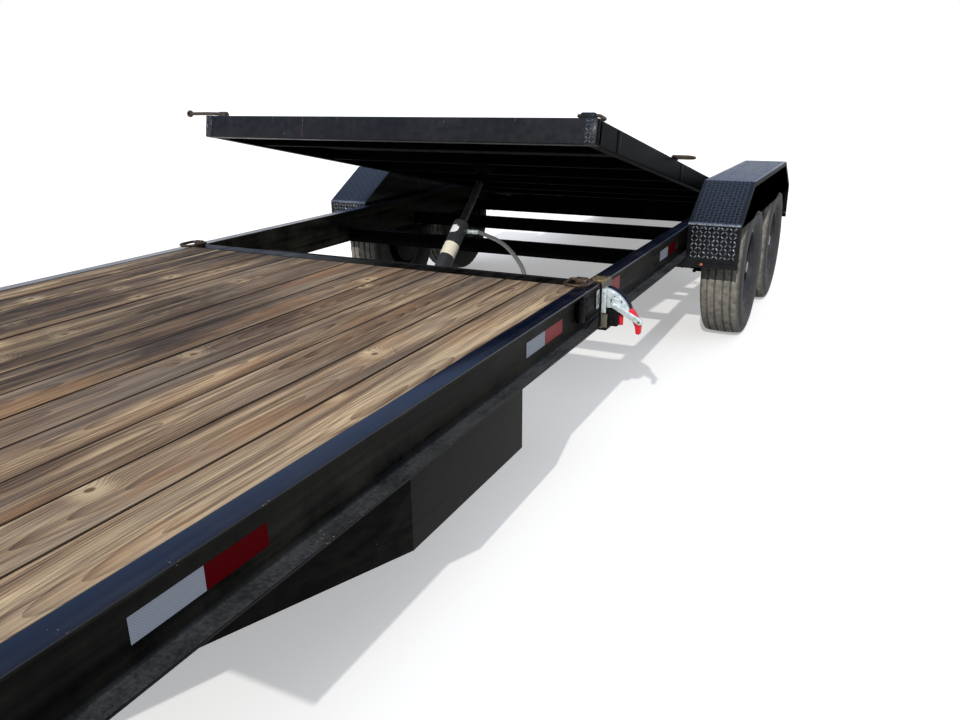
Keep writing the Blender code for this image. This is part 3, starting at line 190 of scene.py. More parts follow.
def bumped(tree, height, strength, distance):
    """A normal bent by a height."""
    inputs = {"Height": height, "Strength": strength, "Distance": distance}
    return add(tree, "ShaderNodeBump", inputs).outputs[0]


def split(tree, vector):
    """The three parts of a vector."""
    return add(tree, "ShaderNodeSeparateXYZ", {0: vector}).outputs


def upward(tree):
    """How far a face looks up, from -1 to 1."""
    return split(tree, add(tree, "ShaderNodeNewGeometry").outputs["Normal"])[2]


def gloss_enamel(name, base, dust, chips, roughness, rim=None, specular=0.12, grime="#4d4b48",
                 reach=(1.4, 3.0)):
    """Sprayed machine enamel: glossy, greyed by dust where it settles, with small brown chips, and a painted
    sky reflection on low ledges that look up.
    """
    made, tree, shader, place = begin(name)
    x, y, z = split(tree, place)
    # a thin haze of dust in patches of 80 to 300 mm, drawn out along the trailer and thicker to the rear
    cloud = noise(tree, place, 6.0, 8.0, 0.7)
    streak = noise(tree, place, 1.0, 6.0, stretch=(40.0, 1.6, 40.0))
    rear = ranged(tree, y, *reach, 0.02, dust)
    haze = ranged(tree, maths(tree, "MULTIPLY", cloud, streak), 0.16, 0.40, 0.0, rear)
    # road dust and grit lie thick on ledges that look up and sit low; their pale blue-grey is partly dust and
    # partly a painted sky reflection
    flat = ranged(tree, upward(tree), 0.6, 0.95)
    low = ranged(tree, z, 0.56, 0.64, 0.90, 0.0)
    patchy = ranged(tree, cloud, 0.36, 0.60, 0.35)
    speck = ranged(tree, noise(tree, place, 90.0, 5.0, 0.8), 0.36, 0.62, 0.35, 1.25)
    ledge_dust_and_painted_sky = maths(tree, "MULTIPLY", maths(tree, "MULTIPLY", flat, low), maths(tree, "MULTIPLY", patchy, speck))
    body = blend(tree, ledge_dust_and_painted_sky, blend(tree, haze, base, grime), "#484a4e")
    # chips of 2 to 6 mm in clusters, thicker along the outer edge of the flanges
    count = maths(tree, "MULTIPLY", noise(tree, place, 150.0, 3.0, 0.6), noise(tree, place, 9.0, 3.0))
    if rim:
        edge = ranged(tree, maths(tree, "ABSOLUTE", x), rim - 0.006, rim, 0.0, 0.075)
        count = maths(tree, "ADD", count, edge)
    chip = ranged(tree, count, 0.47 - chips, 0.49 - chips)
    dull = maths(tree, "MULTIPLY_ADD", maths(tree, "ADD", ledge_dust_and_painted_sky, haze), 0.9, roughness)
    # orange peel of the sprayed coat, about 3 mm across
    peel = bumped(tree, noise(tree, place, 320.0, 1.0), 0.06, 0.0004)
    join(tree, shader, Base_Color=blend(tree, chip, body, "#80766b"), Roughness=dull, Normal=peel, IOR=1.5,
         Specular_IOR_Level=specular)
    return made


def weathered_pine(name, half, pitch, tilt):
    """Pine left in the weather: long beige, brown and grey streaks, raised fibre, few knots, stains."""
    made, tree, shader, place = begin(name)
    level = mapped(tree, place, turn=(tilt, 0, 0))
    x = split(tree, level)[0]
    count = maths(tree, "DIVIDE", maths(tree, "ADD", x, half), pitch)
    within = maths(tree, "FRACT", count)
    seed = add(tree, "ShaderNodeTexWhiteNoise", {"W": maths(tree, "FLOOR", count)},
               noise_dimensions="1D").outputs
    own = vectors(tree, "ADD", level, vectors(tree, "MULTIPLY", seed["Color"], (7.0, 31.0, 3.0)))
    # knots of 15 to 25 mm, one to about a metre and a half of board; the grain swells round them
    knot = add(tree, "ShaderNodeTexVoronoi", {"Vector": mapped(tree, own, (3.4, 2.6, 1.0)), "Scale": 1.0,
                                              "Randomness": 1.0}, voronoi_dimensions="2D").outputs
    skipped = maths(tree, "GREATER_THAN", split(tree, knot["Color"])[0], 0.55)
    near = maths(tree, "ADD", knot["Distance"], skipped)
    heart = ranged(tree, near, 0.022, 0.036, 0.9, 0.0)
    swell = ranged(tree, near, 0.02, 0.20, 0.026, 0.0, "SMOOTHSTEP")
    halo = ranged(tree, near, 0.03, 0.17, 0.38, 0.0, "SMOOTHSTEP")
    # growth rings 6 mm apart round a pith under the face: straight near the edges, arched along the middle
    drift = noise(tree, own, 1.0, 2.0, 0.4, (0.4, 0.9, 0.4))
    depth = maths(tree, "ADD", maths(tree, "MULTIPLY", drift, 0.14), swell)
    shift = maths(tree, "MULTIPLY_ADD", seed["Value"], pitch * 0.8, -pitch * 0.9)
    inside = maths(tree, "MULTIPLY_ADD", within, pitch, shift)
    pith = add(tree, "ShaderNodeCombineXYZ", {0: inside, 1: depth}).outputs[0]
    turn = maths(tree, "FRACT", maths(tree, "MULTIPLY", vectors(tree, "LENGTH", pith), 1 / 0.006))
    late = maths(tree, "POWER", turn, 2.5)
    # broad streaks 10 to 40 mm wide and up to a metre long, and fibres 2 mm wide and 120 mm long
    broad = noise(tree, own, 1.0, 5.0, 0.62, (26.0, 1.1, 26.0), Distortion=0.25)
    fibre = noise(tree, own, 1.0, 5.0, 0.72, (260.0, 5.0, 60.0))
    lines = ranged(tree, fibre, 0.30, 0.70, -0.24, 0.24)
    tone = maths(tree, "MULTIPLY_ADD", ranged(tree, broad, 0.30, 0.70), 0.74, lines)
    tone = maths(tree, "MULTIPLY_ADD", late, 0.28, tone)
    shade = maths(tree, "MULTIPLY_ADD", seed["Value"], 0.30, -0.12)
    tone = maths(tree, "SUBTRACT", maths(tree, "ADD", tone, shade), halo)
    wood = ramp(tree, tone, (0.0, "#d0b995"), (0.20, "#b0987a"), (0.40, "#8d765e"), (0.60, "#6b5644"),
                (0.82, "#4b3a2d"), (1.0, "#30241c"))
    # grey weathering and tan heartwood, 0.2 to 1 m long
    patch = noise(tree, own, 1.0, 6.0, 0.6, (9.0, 1.3, 1.0))
    wood = blend(tree, ranged(tree, patch, 0.44, 0.66, 0.0, 0.55), wood, "#7a6f65")
    warm = noise(tree, own, 1.0, 6.0, 0.6, (8.0, 1.5, 1.0), (9.0, 2.0, 0.0))
    wood = blend(tree, ranged(tree, warm, 0.54, 0.70, 0.0, 0.45), wood, "#a4764e")
    # a dark stain, heavier on the right, with a pool about a metre and a half long on the fixed deck
    spill = noise(tree, level, 1.0, 8.0, 0.7, (2.2, 0.8, 1.0), (3.1, 7.7, 0.0))
    spread = maths(tree, "ADD", spill, ranged(tree, x, -0.75, 0.75, 0.12, -0.08))
    away = vectors(tree, "MULTIPLY", vectors(tree, "ADD", place, (0.08, -2.08, -0.69)), (1.8, 1.05, 0.6))
    pool = ranged(tree, vectors(tree, "LENGTH", away), 0.15, 0.95, 0.24, 0.0, "SMOOTHSTEP")
    oil = ranged(tree, maths(tree, "ADD", spread, pool), 0.52, 0.72, 0.0, 0.85)
    soaked = maths(tree, "MULTIPLY", oil, ranged(tree, broad, 0.35, 0.60, 0.45))
    wood = blend(tree, soaked, wood, "#2c211a")
    wood = blend(tree, heart, wood, "#5a3f2c")
    # dirt gathers along both edges of a board, and faces that look down are darkened to near black
    rim = maths(tree, "ABSOLUTE", maths(tree, "SUBTRACT", within, 0.5 - BOARD_GAP / 2 / pitch))
    wood = blend(tree, ranged(tree, rim, 0.476, 0.490, 0.0, 0.9), wood, "#2a1d13")
    wood = blend(tree, maths(tree, "LESS_THAN", upward(tree), -0.5), wood, "#15110e")
    grain = bumped(tree, maths(tree, "MULTIPLY_ADD", late, 0.35, fibre), 0.7, 0.0014)
    join(tree, shader, Base_Color=wood, Roughness=0.86, Normal=grain, IOR=1.45, Specular_IOR_Level=0.25)
    return made


def worn_metal(name, bright, dark, metallic, roughness, scale, bumpy):
    """Bare or plated metal with a fine mottle, such as zinc plate, rusted bar or a chromed rod."""
    made, tree, shader, place = begin(name)
    mottle = noise(tree, place, scale, 8.0, 0.7)
    gloss = ranged(tree, mottle, 0.3, 0.7, roughness, min(1.0, roughness + 0.25))
    join(tree, shader, Base_Color=ramp(tree, mottle, (0.36, bright), (0.64, dark)), Metallic=metallic,
         Roughness=gloss, Normal=bumped(tree, mottle, bumpy, 0.0008))
    return made


def tyre_compound(name):
    """Carbon-black rubber: dark side walls, and ribs greyed by dry road dust."""
    made, tree, shader, place = begin(name)
    tread = add(tree, "ShaderNodeAttribute", attribute_name="tread").outputs["Fac"]
    dust = noise(tree, place, 30.0, 8.0, 0.7)
    road = ramp(tree, dust, (0.3, "#5a5853"), (0.5, "#827f77"), (0.7, "#9d9990"))
    wall = ramp(tree, dust, (0.3, "#2a2928"), (0.7, "#464441"))
    pores = bumped(tree, noise(tree, place, 240.0, 3.0), 0.25, 0.0008)
    join(tree, shader, Base_Color=blend(tree, tread, wall, road), Roughness=0.82, Normal=pores, IOR=1.52,
         Specular_IOR_Level=0.3)
    return made


def reflective_sheet(name, code, cell, specular=0.2):
    """Retroreflective truck tape: a satin film over a grid of sealed cells about 4 mm across."""
    made, tree, shader, place = begin(name)
    turned = mapped(tree, place, turn=(math.radians(45), 0, 0))
    cells = add(tree, "ShaderNodeTexVoronoi", {"Vector": turned, "Scale": 250.0, "Randomness": 0.0},
                feature="DISTANCE_TO_EDGE").outputs["Distance"]
    join(tree, shader, Base_Color=blend(tree, ranged(tree, cells, 0.03, 0.10), cell, code), Roughness=0.42,
         IOR=1.5, Specular_IOR_Level=specular)
    return made


def moulded(name, code, roughness, specular=0.4):
    """Moulded or braided rubber and plastic, with a faint mottle."""
    made, tree, shader, place = begin(name)
    mottle = noise(tree, place, 60.0, 5.0, 0.6)
    pale = [min(1.0, part * 1.5 + 0.01) for part in linear(code)[:3]] + [1.0]
    join(tree, shader, Base_Color=blend(tree, mottle, code, pale), Roughness=roughness,
         Normal=bumped(tree, mottle, 0.15, 0.0005), Specular_IOR_Level=specular)
    return made


BOARD_PITCH = (2 * FIXED_INSIDE + BOARD_GAP) / BOARDS
BED_PITCH = (2 * BED_INSIDE + BOARD_GAP) / BOARDS
enamel = gloss_enamel("black machine enamel", "#040506", 0.22, 0.0, 0.30, specular=0.03, grime="#4f4d44",
                      reach=(0.6, 2.2))
rail_enamel = gloss_enamel("black machine enamel, chipped edges", "#030405", 0.55, 0.0, 0.28, FRAME_HALF, 0.03,
                           "#56544a", (0.2, 2.0))
# the rail tops: black enamel with a navy base colour, a painted reflection of the blue sky
enamel_painted_sky = gloss_enamel("black machine enamel, navy painted sky reflection", "#070e20", 0.16, 0.030, 0.17,
                             FRAME_HALF, 0.30, reach=(0.4, 1.4))
bed_enamel = gloss_enamel("black machine enamel, sun-dulled", "#060707", 0.06, 0.0, 0.45, specular=0.012,
                          grime="#45464a")
header_enamel = gloss_enamel("black machine enamel, dark grey with fine dust", "#151619", 0.16, 0.0, 0.36,
                             specular=0.16, grime="#45464a")
tread_enamel = gloss_enamel("black enamel on tread plate", "#090a0e", 0.08, 0.0, 0.24, specular=0.23)
# tread bars on the fender tops and header ends: a paler blue-grey that is partly worn paint and partly a
# painted sky sheen
tread_worn_painted_sheen = gloss_enamel("black enamel rubbed thin on the tread bars", "#2b2f35", 0.05, 0.0, 0.13,
                          specular=0.90)
end_enamel = gloss_enamel("grey primed tread plate", "#1f2426", 0.15, 0.02, 0.30, specular=0.25)
worn_black = gloss_enamel("black enamel on cast steel", "#101113", 0.10, 0.03, 0.35, specular=0.3,
                          grime="#5a564c", reach=(-2.0, -1.0))
chassis = gloss_enamel("black axle paint with road dust", "#0c0c0c", 0.35, 0.0, 0.6, specular=0.1,
                       grime="#4a463e")
underside = gloss_enamel("black chassis paint", "#020203", 0.01, 0.0, 0.75, specular=0.02)
dark_primer = gloss_enamel("dark grey primer", "#2f3032", 0.15, 0.0, 0.45, specular=0.3)
fixed_pine = weathered_pine("weathered treated pine", FIXED_INSIDE + 0.002, BOARD_PITCH, 0.0)
bed_pine = weathered_pine("weathered treated pine, bed", BED_INSIDE + 0.002, BED_PITCH, BED_TILT)
rubber = tyre_compound("tyre rubber, dusty")
wheel_enamel = gloss_enamel("charcoal wheel enamel", "#2b2e33", 0.45, 0.0, 0.35)
zinc = worn_metal("zinc plated steel", "#e9f0f2", "#a9b8b6", 0.45, 0.34, 70.0, 0.1)
# the skirt bars: bright steel on some bars and near black on others, a painted glint pattern
tread_painted_glints = worn_metal("tread bars, bright steel as painted glints", "#959ba3", "#08090b", 0.7, 0.22, 95.0, 0.05)
worn_steel = worn_metal("worn steel, paint rubbed off", "#a8905e", "#2c2721", 0.45, 0.42, 110.0, 0.3)
post_steel = worn_metal("weathered dark steel", "#6f695d", "#45413a", 0.3, 0.5, 60.0, 0.2)
rusty = worn_metal("rusted steel bar", "#5f4a32", "#120e0c", 0.4, 0.40, 130.0, 0.4)
cap_grey = worn_metal("grease cap, dulled", "#8b8f96", "#4b4f56", 0.8, 0.30, 50.0, 0.1)
bare_rust = worn_metal("weathered steel with rust bloom", "#5d564c", "#6a4128", 0.35, 0.55, 35.0, 0.4)
chrome = worn_metal("hard chromed rod", "#8b8c8e", "#6b6c6e", 0.85, 0.22, 25.0, 0.0)
braid = moulded("two-wire hydraulic hose cover", "#5c5c59", 0.40, 0.6)
cover_black = moulded("moulded black polyethylene", "#020203", 0.5, 0.10)
red_grip = moulded("red dipped vinyl", "#c81426", 0.35)
cream = moulded("cream paint band", "#d8cfbc", 0.6)
sticker = moulded("blank white vinyl label", "#dfe0e0", 0.45)
lens_red = moulded("red lamp lens", "#8f0b10", 0.12, 0.5)
lens_amber = moulded("amber marker lens", "#a4542a", 0.10, 0.7)
tape_white = reflective_sheet("reflective sheet, white", "#b4bac6", "#8b92a2")
tape_red = reflective_sheet("reflective sheet, red", "#640109", "#4a0106", 0.02)
# the middle red strips and the strip on the latch post: a paler red, partly dust and partly a painted sheen of
# the grazing view
tape_red_painted_sheen = reflective_sheet("reflective sheet, red, pale with painted sheen and dust", "#a0161c", "#7c1014")


# Shapes

def finish(name, shapes, look, slot, *replaced, body="root", matrix=None, angle=35):
    """A finished piece of one or more shapes: set in place, shaded, and riding on its body."""
    shape = gathered(shapes) if isinstance(shapes, list) else shapes
    shape.transform(matrix or DRAWN_ON[body])
    bmesh.ops.remove_doubles(shape, verts=shape.verts, dist=1e-6)
    mesh = bpy.data.meshes.new(name)
    shape.to_mesh(mesh)
    shape.free()
    mesh.shade_smooth()
    mesh.set_sharp_from_angle(angle=math.radians(angle))
    made = bpy.data.objects.new(name, mesh)
    bpy.context.scene.collection.objects.link(made)
    mesh.materials.append(look)
    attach(made, body)
    if replaced:
        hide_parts(*replaced)
    return made


def outward(shape):
    """Makes the faces of a closed shape point outwards."""
    bmesh.ops.remove_doubles(shape, verts=shape.verts, dist=1e-6)
    bmesh.ops.recalc_face_normals(shape, faces=shape.faces)
    return shape


def merge(shape, other):
    """Adds another shape to this one and empties it."""
    spare = bpy.data.meshes.new("spare")
    other.to_mesh(spare)
    other.free()
    shape.from_mesh(spare)
    bpy.data.meshes.remove(spare)
    return shape


def gathered(shapes):
    """Several shapes as one."""
    whole = shapes[0]
    for other in shapes[1:]:
        merge(whole, other)
    return whole


def rounded(shape, width, segments=2, angle=40):
    """Rounds every edge that is sharper than the angle."""
    limit = math.radians(angle)
    edges = [edge for edge in shape.edges if edge.is_manifold and edge.calc_face_angle() > limit]
    bmesh.ops.bevel(shape, geom=edges, affect="EDGES", offset=width, segments=segments, profile=0.5,
                    material=-1, clamp_overlap=True)
    return shape


def block(low, high, width=0.0, segments=2):
    """A block between two corners, with its edges rounded."""
    shape = bmesh.new()
    bmesh.ops.create_cube(shape, size=1)
    low, high = Vector(low), Vector(high)
    bmesh.ops.scale(shape, vec=high - low, verts=shape.verts)
    bmesh.ops.translate(shape, vec=(low + high) / 2, verts=shape.verts)
    return rounded(shape, width, segments) if width else shape


def drawn(outline, axis, start, end, *edge):
    """A closed outline in the plane across an axis, extruded along it, and rounded where asked."""
    slots = {"X": (1, 2, 0), "Y": (0, 2, 1), "Z": (0, 1, 2)}[axis]
    shape = bmesh.new()
    corners = []
    for a, b in outline:
        point = [0.0, 0.0, 0.0]
        point[slots[0]], point[slots[1]], point[slots[2]] = a, b, start
        corners.append(shape.verts.new(point))
    face = shape.faces.new(corners)
    made = bmesh.ops.extrude_face_region(shape, geom=[face])
    move = [0.0, 0.0, 0.0]
    move[slots[2]] = end - start
    far = [item for item in made["geom"] if isinstance(item, bmesh.types.BMVert)]
    bmesh.ops.translate(shape, vec=move, verts=far)
    return rounded(outward(shape), *edge) if edge else outward(shape)


def lathe(profile, segments=64, closed=True, place=None):
    """A profile of (x, radius) points spun round X, then set in place."""
    shape = bmesh.new()
    points = [shape.verts.new((x, radius, 0)) for x, radius in profile]
    edges = [shape.edges.new(pair) for pair in zip(points, points[1:])]
    if closed:
        edges.append(shape.edges.new((points[-1], points[0])))
    bmesh.ops.spin(shape, geom=points + edges, cent=(0, 0, 0), axis=(1, 0, 0), angle=math.tau, steps=segments,
                   use_merge=True)
    outward(shape).transform(place or Matrix.Identity(4))
    return shape


def bar(start, end, radius, segments=24, width=0.0):
    """A round bar between two points, with its ends rounded."""
    start, end = Vector(start), Vector(end)
    shape = bmesh.new()
    bmesh.ops.create_cone(shape, cap_ends=True, segments=segments, radius1=radius, radius2=radius,
                          depth=(end - start).length)
    if width:
        rounded(shape, width, 2, 60)
    turn = Vector((0, 0, 1)).rotation_difference(end - start).to_matrix().to_4x4()
    shape.transform(Matrix.Translation((start + end) / 2) @ turn)
    return shape


def pin(axis, at, start, end, *more):
    """A round bar along an axis, between two places on it."""
    slot = "XYZ".index(axis)
    return bar(*[(*at[:slot], place, *at[slot:]) for place in (start, end)], *more)


def hexagon(centre, axis, across, height):
    """A hex nut or bolt head on a point, standing along an axis."""
    centre, axis = Vector(centre), Vector(axis).normalized()
    return bar(centre, centre + axis * height, across / 2 / math.cos(math.pi / 6), 6, across * 0.06)


def tube(points, radius, segments=16, closed=False):
    """A round section carried along a path."""
    shape = bmesh.new()
    rings = []
    path = [Vector(point) for point in points]
    normal = None
    for index, point in enumerate(path):
        before = path[index - 1] if closed or index else point
        after = path[(index + 1) % len(path)] if closed or index < len(path) - 1 else point
        along = (after - before).normalized()
        if normal is None:
            normal = along.orthogonal().normalized()
        normal = (normal - along * normal.dot(along)).normalized()
        side = along.cross(normal)
        ring = [shape.verts.new(point + normal * math.cos(a) * radius + side * math.sin(a) * radius)
                for a in (math.tau * step / segments for step in range(segments))]
        rings.append([shape.edges.new(pair) for pair in zip(ring, ring[1:] + ring[:1])])
    pairs = zip(rings, rings[1:] + rings[:1]) if closed else zip(rings, rings[1:])
    for first, second in pairs:
        bmesh.ops.bridge_loops(shape, edges=first + second)
    if not closed:
        for ring in (rings[0], rings[-1]):
            bmesh.ops.contextual_create(shape, geom=ring)
    return outward(shape)


def smooth_path(points, steps):
    """A smooth curve through points, read at even steps between each two."""
    ends = [Vector(point) for point in points]
    ends = [2 * ends[0] - ends[1]] + ends + [2 * ends[-1] - ends[-2]]
    curve = []
    for a, b, c, d in zip(ends, ends[1:], ends[2:], ends[3:]):
        for step in range(steps):
            t = step / steps
            bend = (2 * a - 5 * b + 4 * c - d) * t * t + (3 * b - a - 3 * c + d) * t ** 3
            curve.append(0.5 * (2 * b + (c - a) * t + bend))
    return curve + [ends[-2]]


def filleted(corners, radius, steps=5):
    """An open path with its inner corners rounded."""
    path = [Vector(corners[0])]
    for before, here, after in zip(corners, corners[1:], corners[2:]):
        here = Vector(here)
        back, ahead = (Vector(before) - here).normalized(), (Vector(after) - here).normalized()
        half = math.acos(max(-1, min(1, back.dot(ahead)))) / 2
        reach = min(radius / math.tan(half), (Vector(before) - here).length / 2,
                    (Vector(after) - here).length / 2)
        for step in range(steps + 1):
            t = step / steps
            bend = here * 2 * t * (1 - t) + (here + ahead * reach) * t * t
            path.append((here + back * reach) * (1 - t) ** 2 + bend)
    return path + [Vector(corners[-1])]


def offset(path, distance):
    """A path moved to its left, with its corners mitred."""
    moved = []
    for index, here in enumerate(path):
        before = here - path[index - 1] if index else path[1] - here
        after = path[index + 1] - here if index < len(path) - 1 else before
        first, second = Vector((-before.y, before.x)).normalized(), Vector((-after.y, after.x)).normalized()
        mean = (first + second).normalized()
        moved.append(here + mean * distance / mean.dot(first))
    return moved


def band(path, left, right):
    """The outline of a sheet along a path, between two distances to its left."""
    return offset(path, left) + offset(path, right)[::-1]


def span(side, near, far):
    """Two distances from the middle line as the lower and the higher x on a side."""
    return sorted((side * near, side * far))


def pierced(made, cutters, matrix=DECK):
    """Cuts closed shapes out of a finished piece and bakes the result."""
    held = bpy.data.collections.new("cutters")
    for cutter in cutters:
        cutter.transform(matrix)
        mesh = bpy.data.meshes.new("cutter")
        outward(cutter).to_mesh(mesh)
        cutter.free()
        held.objects.link(bpy.data.objects.new("cutter", mesh))
    cut = made.modifiers.new("cut", "BOOLEAN")
    cut.operation, cut.solver, cut.operand_type, cut.collection = "DIFFERENCE", "EXACT", "COLLECTION", held
    bpy.context.view_layer.update()
    baked = bpy.data.meshes.new_from_object(made.evaluated_get(bpy.context.evaluated_depsgraph_get()))
    made.modifiers.clear()
    made.data = baked
    for cutter in list(held.objects):
        bpy.data.objects.remove(cutter)
    bpy.data.collections.remove(held)
    baked.set_sharp_from_angle(angle=math.radians(30))
    return made


# Camera, lights and floor

def stand_camera():
    """The camera of the photograph: low over the trailer's left front, looking back along it."""
    camera = bpy.data.objects.new("camera", bpy.data.cameras.new("camera"))
    camera.data.lens = 29.785
    camera.data.sensor_width = 36
    camera.data.clip_end = 200
    turn = Matrix.Rotation(math.radians(26.95), 4, "Z") @ Matrix.Rotation(math.radians(90 - 18.84), 4, "X")
    turn = turn @ Matrix.Rotation(math.radians(-0.636), 4, "Z")
    camera.matrix_world = Matrix.Translation((1.911, 0.541, 1.374)) @ turn
    bpy.context.scene.collection.objects.link(camera)
    bpy.context.scene.camera = camera


def sharp_rays(tree):
    """The light path's outputs, and 1 for rays that see, mirror or pass through."""
    rays = add(tree, "ShaderNodeLightPath").outputs
    sharp = maths(tree, "MAXIMUM", rays["Is Camera Ray"], rays["Is Glossy Ray"])
    return rays, maths(tree, "MAXIMUM", sharp, rays["Is Transmission Ray"])


def light_studio():
    """A low sun behind the camera, a pale room, and a pale floor."""
    lamp = bpy.data.objects.new("key", bpy.data.lights.new("key", "SUN"))
    lamp.data.energy = 2.6
    lamp.data.angle = math.radians(0.8)
    lamp.data.color = (1.0, 0.97, 0.92)
    lamp.rotation_euler = Vector((-0.142, 0.861, -0.52)).to_track_quat("-Z", "Y").to_euler()
    bpy.context.scene.collection.objects.link(lamp)
    world = bpy.data.worlds.new("studio")
    bpy.context.scene.world = world
    world.use_nodes = True
    tree, back = world.node_tree, world.node_tree.nodes["Background"]
    rays, seen = sharp_rays(tree)
    up = split(tree, add(tree, "ShaderNodeTexCoord").outputs["Generated"])[2]
    # white at the horizon, a blue ceiling of light from about 12 degrees up for what is glossy
    room = ramp(tree, up, (0.10, "#ffffff"), (0.24, "#7892c0"), (1.0, "#93a6ca"))
    tree.links.new(blend(tree, seen, "#d5dae2", room), back.inputs["Color"])
    ceiling = ranged(tree, up, 0.12, 0.30, 1.0, 1.6)
    power = add(tree, "ShaderNodeMix", {0: rays["Is Glossy Ray"], 2: 1.0, 3: ceiling})
    tree.links.new(power.outputs[0], back.inputs["Strength"])
    shape = bmesh.new()
    bmesh.ops.create_grid(shape, x_segments=2, y_segments=2, size=60)
    mesh = bpy.data.meshes.new("floor")
    shape.to_mesh(mesh)
    shape.free()
    floor = bpy.data.objects.new("floor", mesh)
    bpy.context.scene.collection.objects.link(floor)
    made, tree, shader, _ = begin("pale studio floor")
    rays, seen = sharp_rays(tree)
    join(tree, shader, Base_Color=blend(tree, seen, "#6e6e6e", "#e6e6e6"), Roughness=0.9,
         Specular_IOR_Level=0.0, Emission_Color=linear("#ffffff"),
         Emission_Strength=maths(tree, "MULTIPLY", seen, 0.36))
    mesh.materials.append(made)
    bpy.context.scene.view_settings.view_transform = "Standard"


# The hose, on the route of its solid

TUBE_RADIUS = 0.042
PORT_REACH = 0.033
HOSE_PORT = 0.43
HOSE_RADIUS = 0.0098
HOSE_STRAIGHT = 0.022
HOSE_ROUTE = (
    (0.180, 0.745, -0.003), (0.250, 0.690, -0.006), (0.320, 0.630, -0.014), (0.385, 0.570, -0.031),
    (0.440, 0.520, -0.056), (0.480, 0.488, -0.087), (0.505, 0.465, -0.130), (0.517, 0.453, -0.180),
)


def hang_hose():
    """The oil hose from the cylinder's port down to its fitting under the frame."""
    reach = Vector((TUBE_RADIUS + PORT_REACH + 0.0003, HOSE_PORT, 0))
    port = CYL_BASE + Matrix.Rotation(CYL_ANGLE, 3, "X") @ reach
    foot = Vector((0.52, CYL_BASE.y, CYL_BASE.z + 0.0050))
    out, up = Vector((HOSE_STRAIGHT, 0, 0)), Vector((0, 0, HOSE_STRAIGHT))
    between = [Vector(point) for point in HOSE_ROUTE]
    route = [port, port + out, port + 2 * out, *between, foot + 2 * up, foot + up, foot]
    path = [DECK @ point for point in smooth_path(route, 6)]
    hose = finish("oil_hose", tube(path, HOSE_RADIUS, 20), braid, "hose_rubber", "hose", body="cylinder",
                  matrix=Matrix.Identity(4), angle=60)
    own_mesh(hose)


# Cord and camera first

stand_camera()
light_studio()
hang_hose()


# Frame

def channel_section(depth, flange, web, wall, fillet):
    """The outline of a rolled channel, its web on the left and its toes rounded."""
    inner = filleted([(flange, wall), (web, wall), (web, depth - wall), (flange, depth - wall)], fillet, 4)
    toe = wall * 0.45
    lower = [(0, 0), (flange - toe, 0), (flange - toe * 0.3, toe * 0.3), (flange, toe)]
    return lower + inner + [(x, depth - y) for x, y in reversed(lower)]


def build_rails():
    """The main channels with their fillets and rounded toes, the spring hangers and their bolts."""
    outline = channel_section(RAIL_DEPTH, FRAME_HALF - WEB_INNER, WEB_OUTER - WEB_INNER, 0.009, 0.017)
    for name, side in SIDES:
        path = [(side * (WEB_INNER + x), y - RAIL_DEPTH) for x, y in outline]
        shapes = [drawn(path, "Y", DECK_FRONT + 0.0058, 3.45)]
        for station in (FRONT_AXLE - SPRING_HALF, (FRONT_AXLE + REAR_AXLE) / 2, REAR_AXLE + SPRING_HALF):
            for edge in (-1, 1):
                face = side * (WEB_OUTER + 0.0265) + edge * 0.0228
                low, high = sorted((face, face + edge * 0.008))
                top = -RAIL_DEPTH + 0.001
                shapes.append(block((low, station - 0.04, -0.263), (high, station + 0.04, top), 0.002))
                shapes.append(hexagon((face + edge * 0.008, station, -0.222), (edge, 0, 0), 0.024, 0.009))
        rail = finish("rail_channel_" + name, shapes, rail_enamel, "black_paint", "rail_" + name)
        # faces that look up along the rail tops take the navy enamel, a painted sky reflection
        rail.data.materials.append(enamel_painted_sky)
        for face in rail.data.polygons:
            if face.center.z > DECK.translation.z - 0.01 and face.normal.z > 0.3:
                face.material_index = 1


def stick_tape():
    """Strips of white and red reflective sheet along the left and right webs."""
    runs = ((-2.09, -1.93, -1.77), (-0.554, -0.40, -0.24), (1.085, 1.24, 1.40))
    for name, side in SIDES:
        low, high = span(side, WEB_OUTER + 0.0001, WEB_OUTER + 0.0005)
        strips = [[block((low, start, -0.1305), (high, end - 0.001, -0.0800), 0.0001, 1)
                   for start, end in zip(run, run[1:])] for run in runs]
        white, red = [list(shapes) for shapes in zip(*strips)]
        # the middle red strip takes the paler red, partly dust and partly painted sheen
        dusty_sheen = [red.pop(1)]
        if side == 1:
            dusty_sheen.append(block((low, 0.300, -0.1180), (high, 0.425, -0.0600), 0.0001, 1))
        for colour, look, shapes in (("white", tape_white, white), ("red", tape_red, red),
                                     ("dusty_sheen", tape_red_painted_sheen, dusty_sheen)):
            finish("tape_" + colour + "_" + name, shapes, look, "black_paint")


def board_row(half, start, end, pitch, seed):
    """A row of sawn boards: eased edges, each a little higher, lower or bowed than the next."""
    chance = random.Random(seed)
    shapes = []
    for index in range(BOARDS):
        left = -half + index * pitch
        shape = block((left, start + chance.uniform(0, 0.002), -BOARD_THICK),
                      (left + pitch - BOARD_GAP, end, 0), 0.0028)
        length = end - start
        for step in range(1, 9):
            bmesh.ops.bisect_plane(shape, geom=shape.verts[:] + shape.edges[:] + shape.faces[:],
                                   plane_co=(0, start + length * step / 9, 0), plane_no=(0, 1, 0))
        changes = ((-0.0016, 0), (-0.0008, 0.0008), (-0.0008, 0.0008), (0, 6))
        lift, bow, sway, phase = [chance.uniform(*limits) for limits in changes]
        for corner in shape.verts:
            if corner.co.z > -0.02:
                t = (corner.co.y - start) / length
                corner.co.z += lift + bow * math.sin(phase + t * 7)
                corner.co.x += sway * math.sin(phase + t * 5)
        shapes.append(shape)
    return gathered(shapes)


def joists(places, half, bottom):
    """The joists under a row of boards."""
    return [block((-half, y - 0.02, bottom), (half, y + 0.02, -0.0385), 0.002) for y in places]


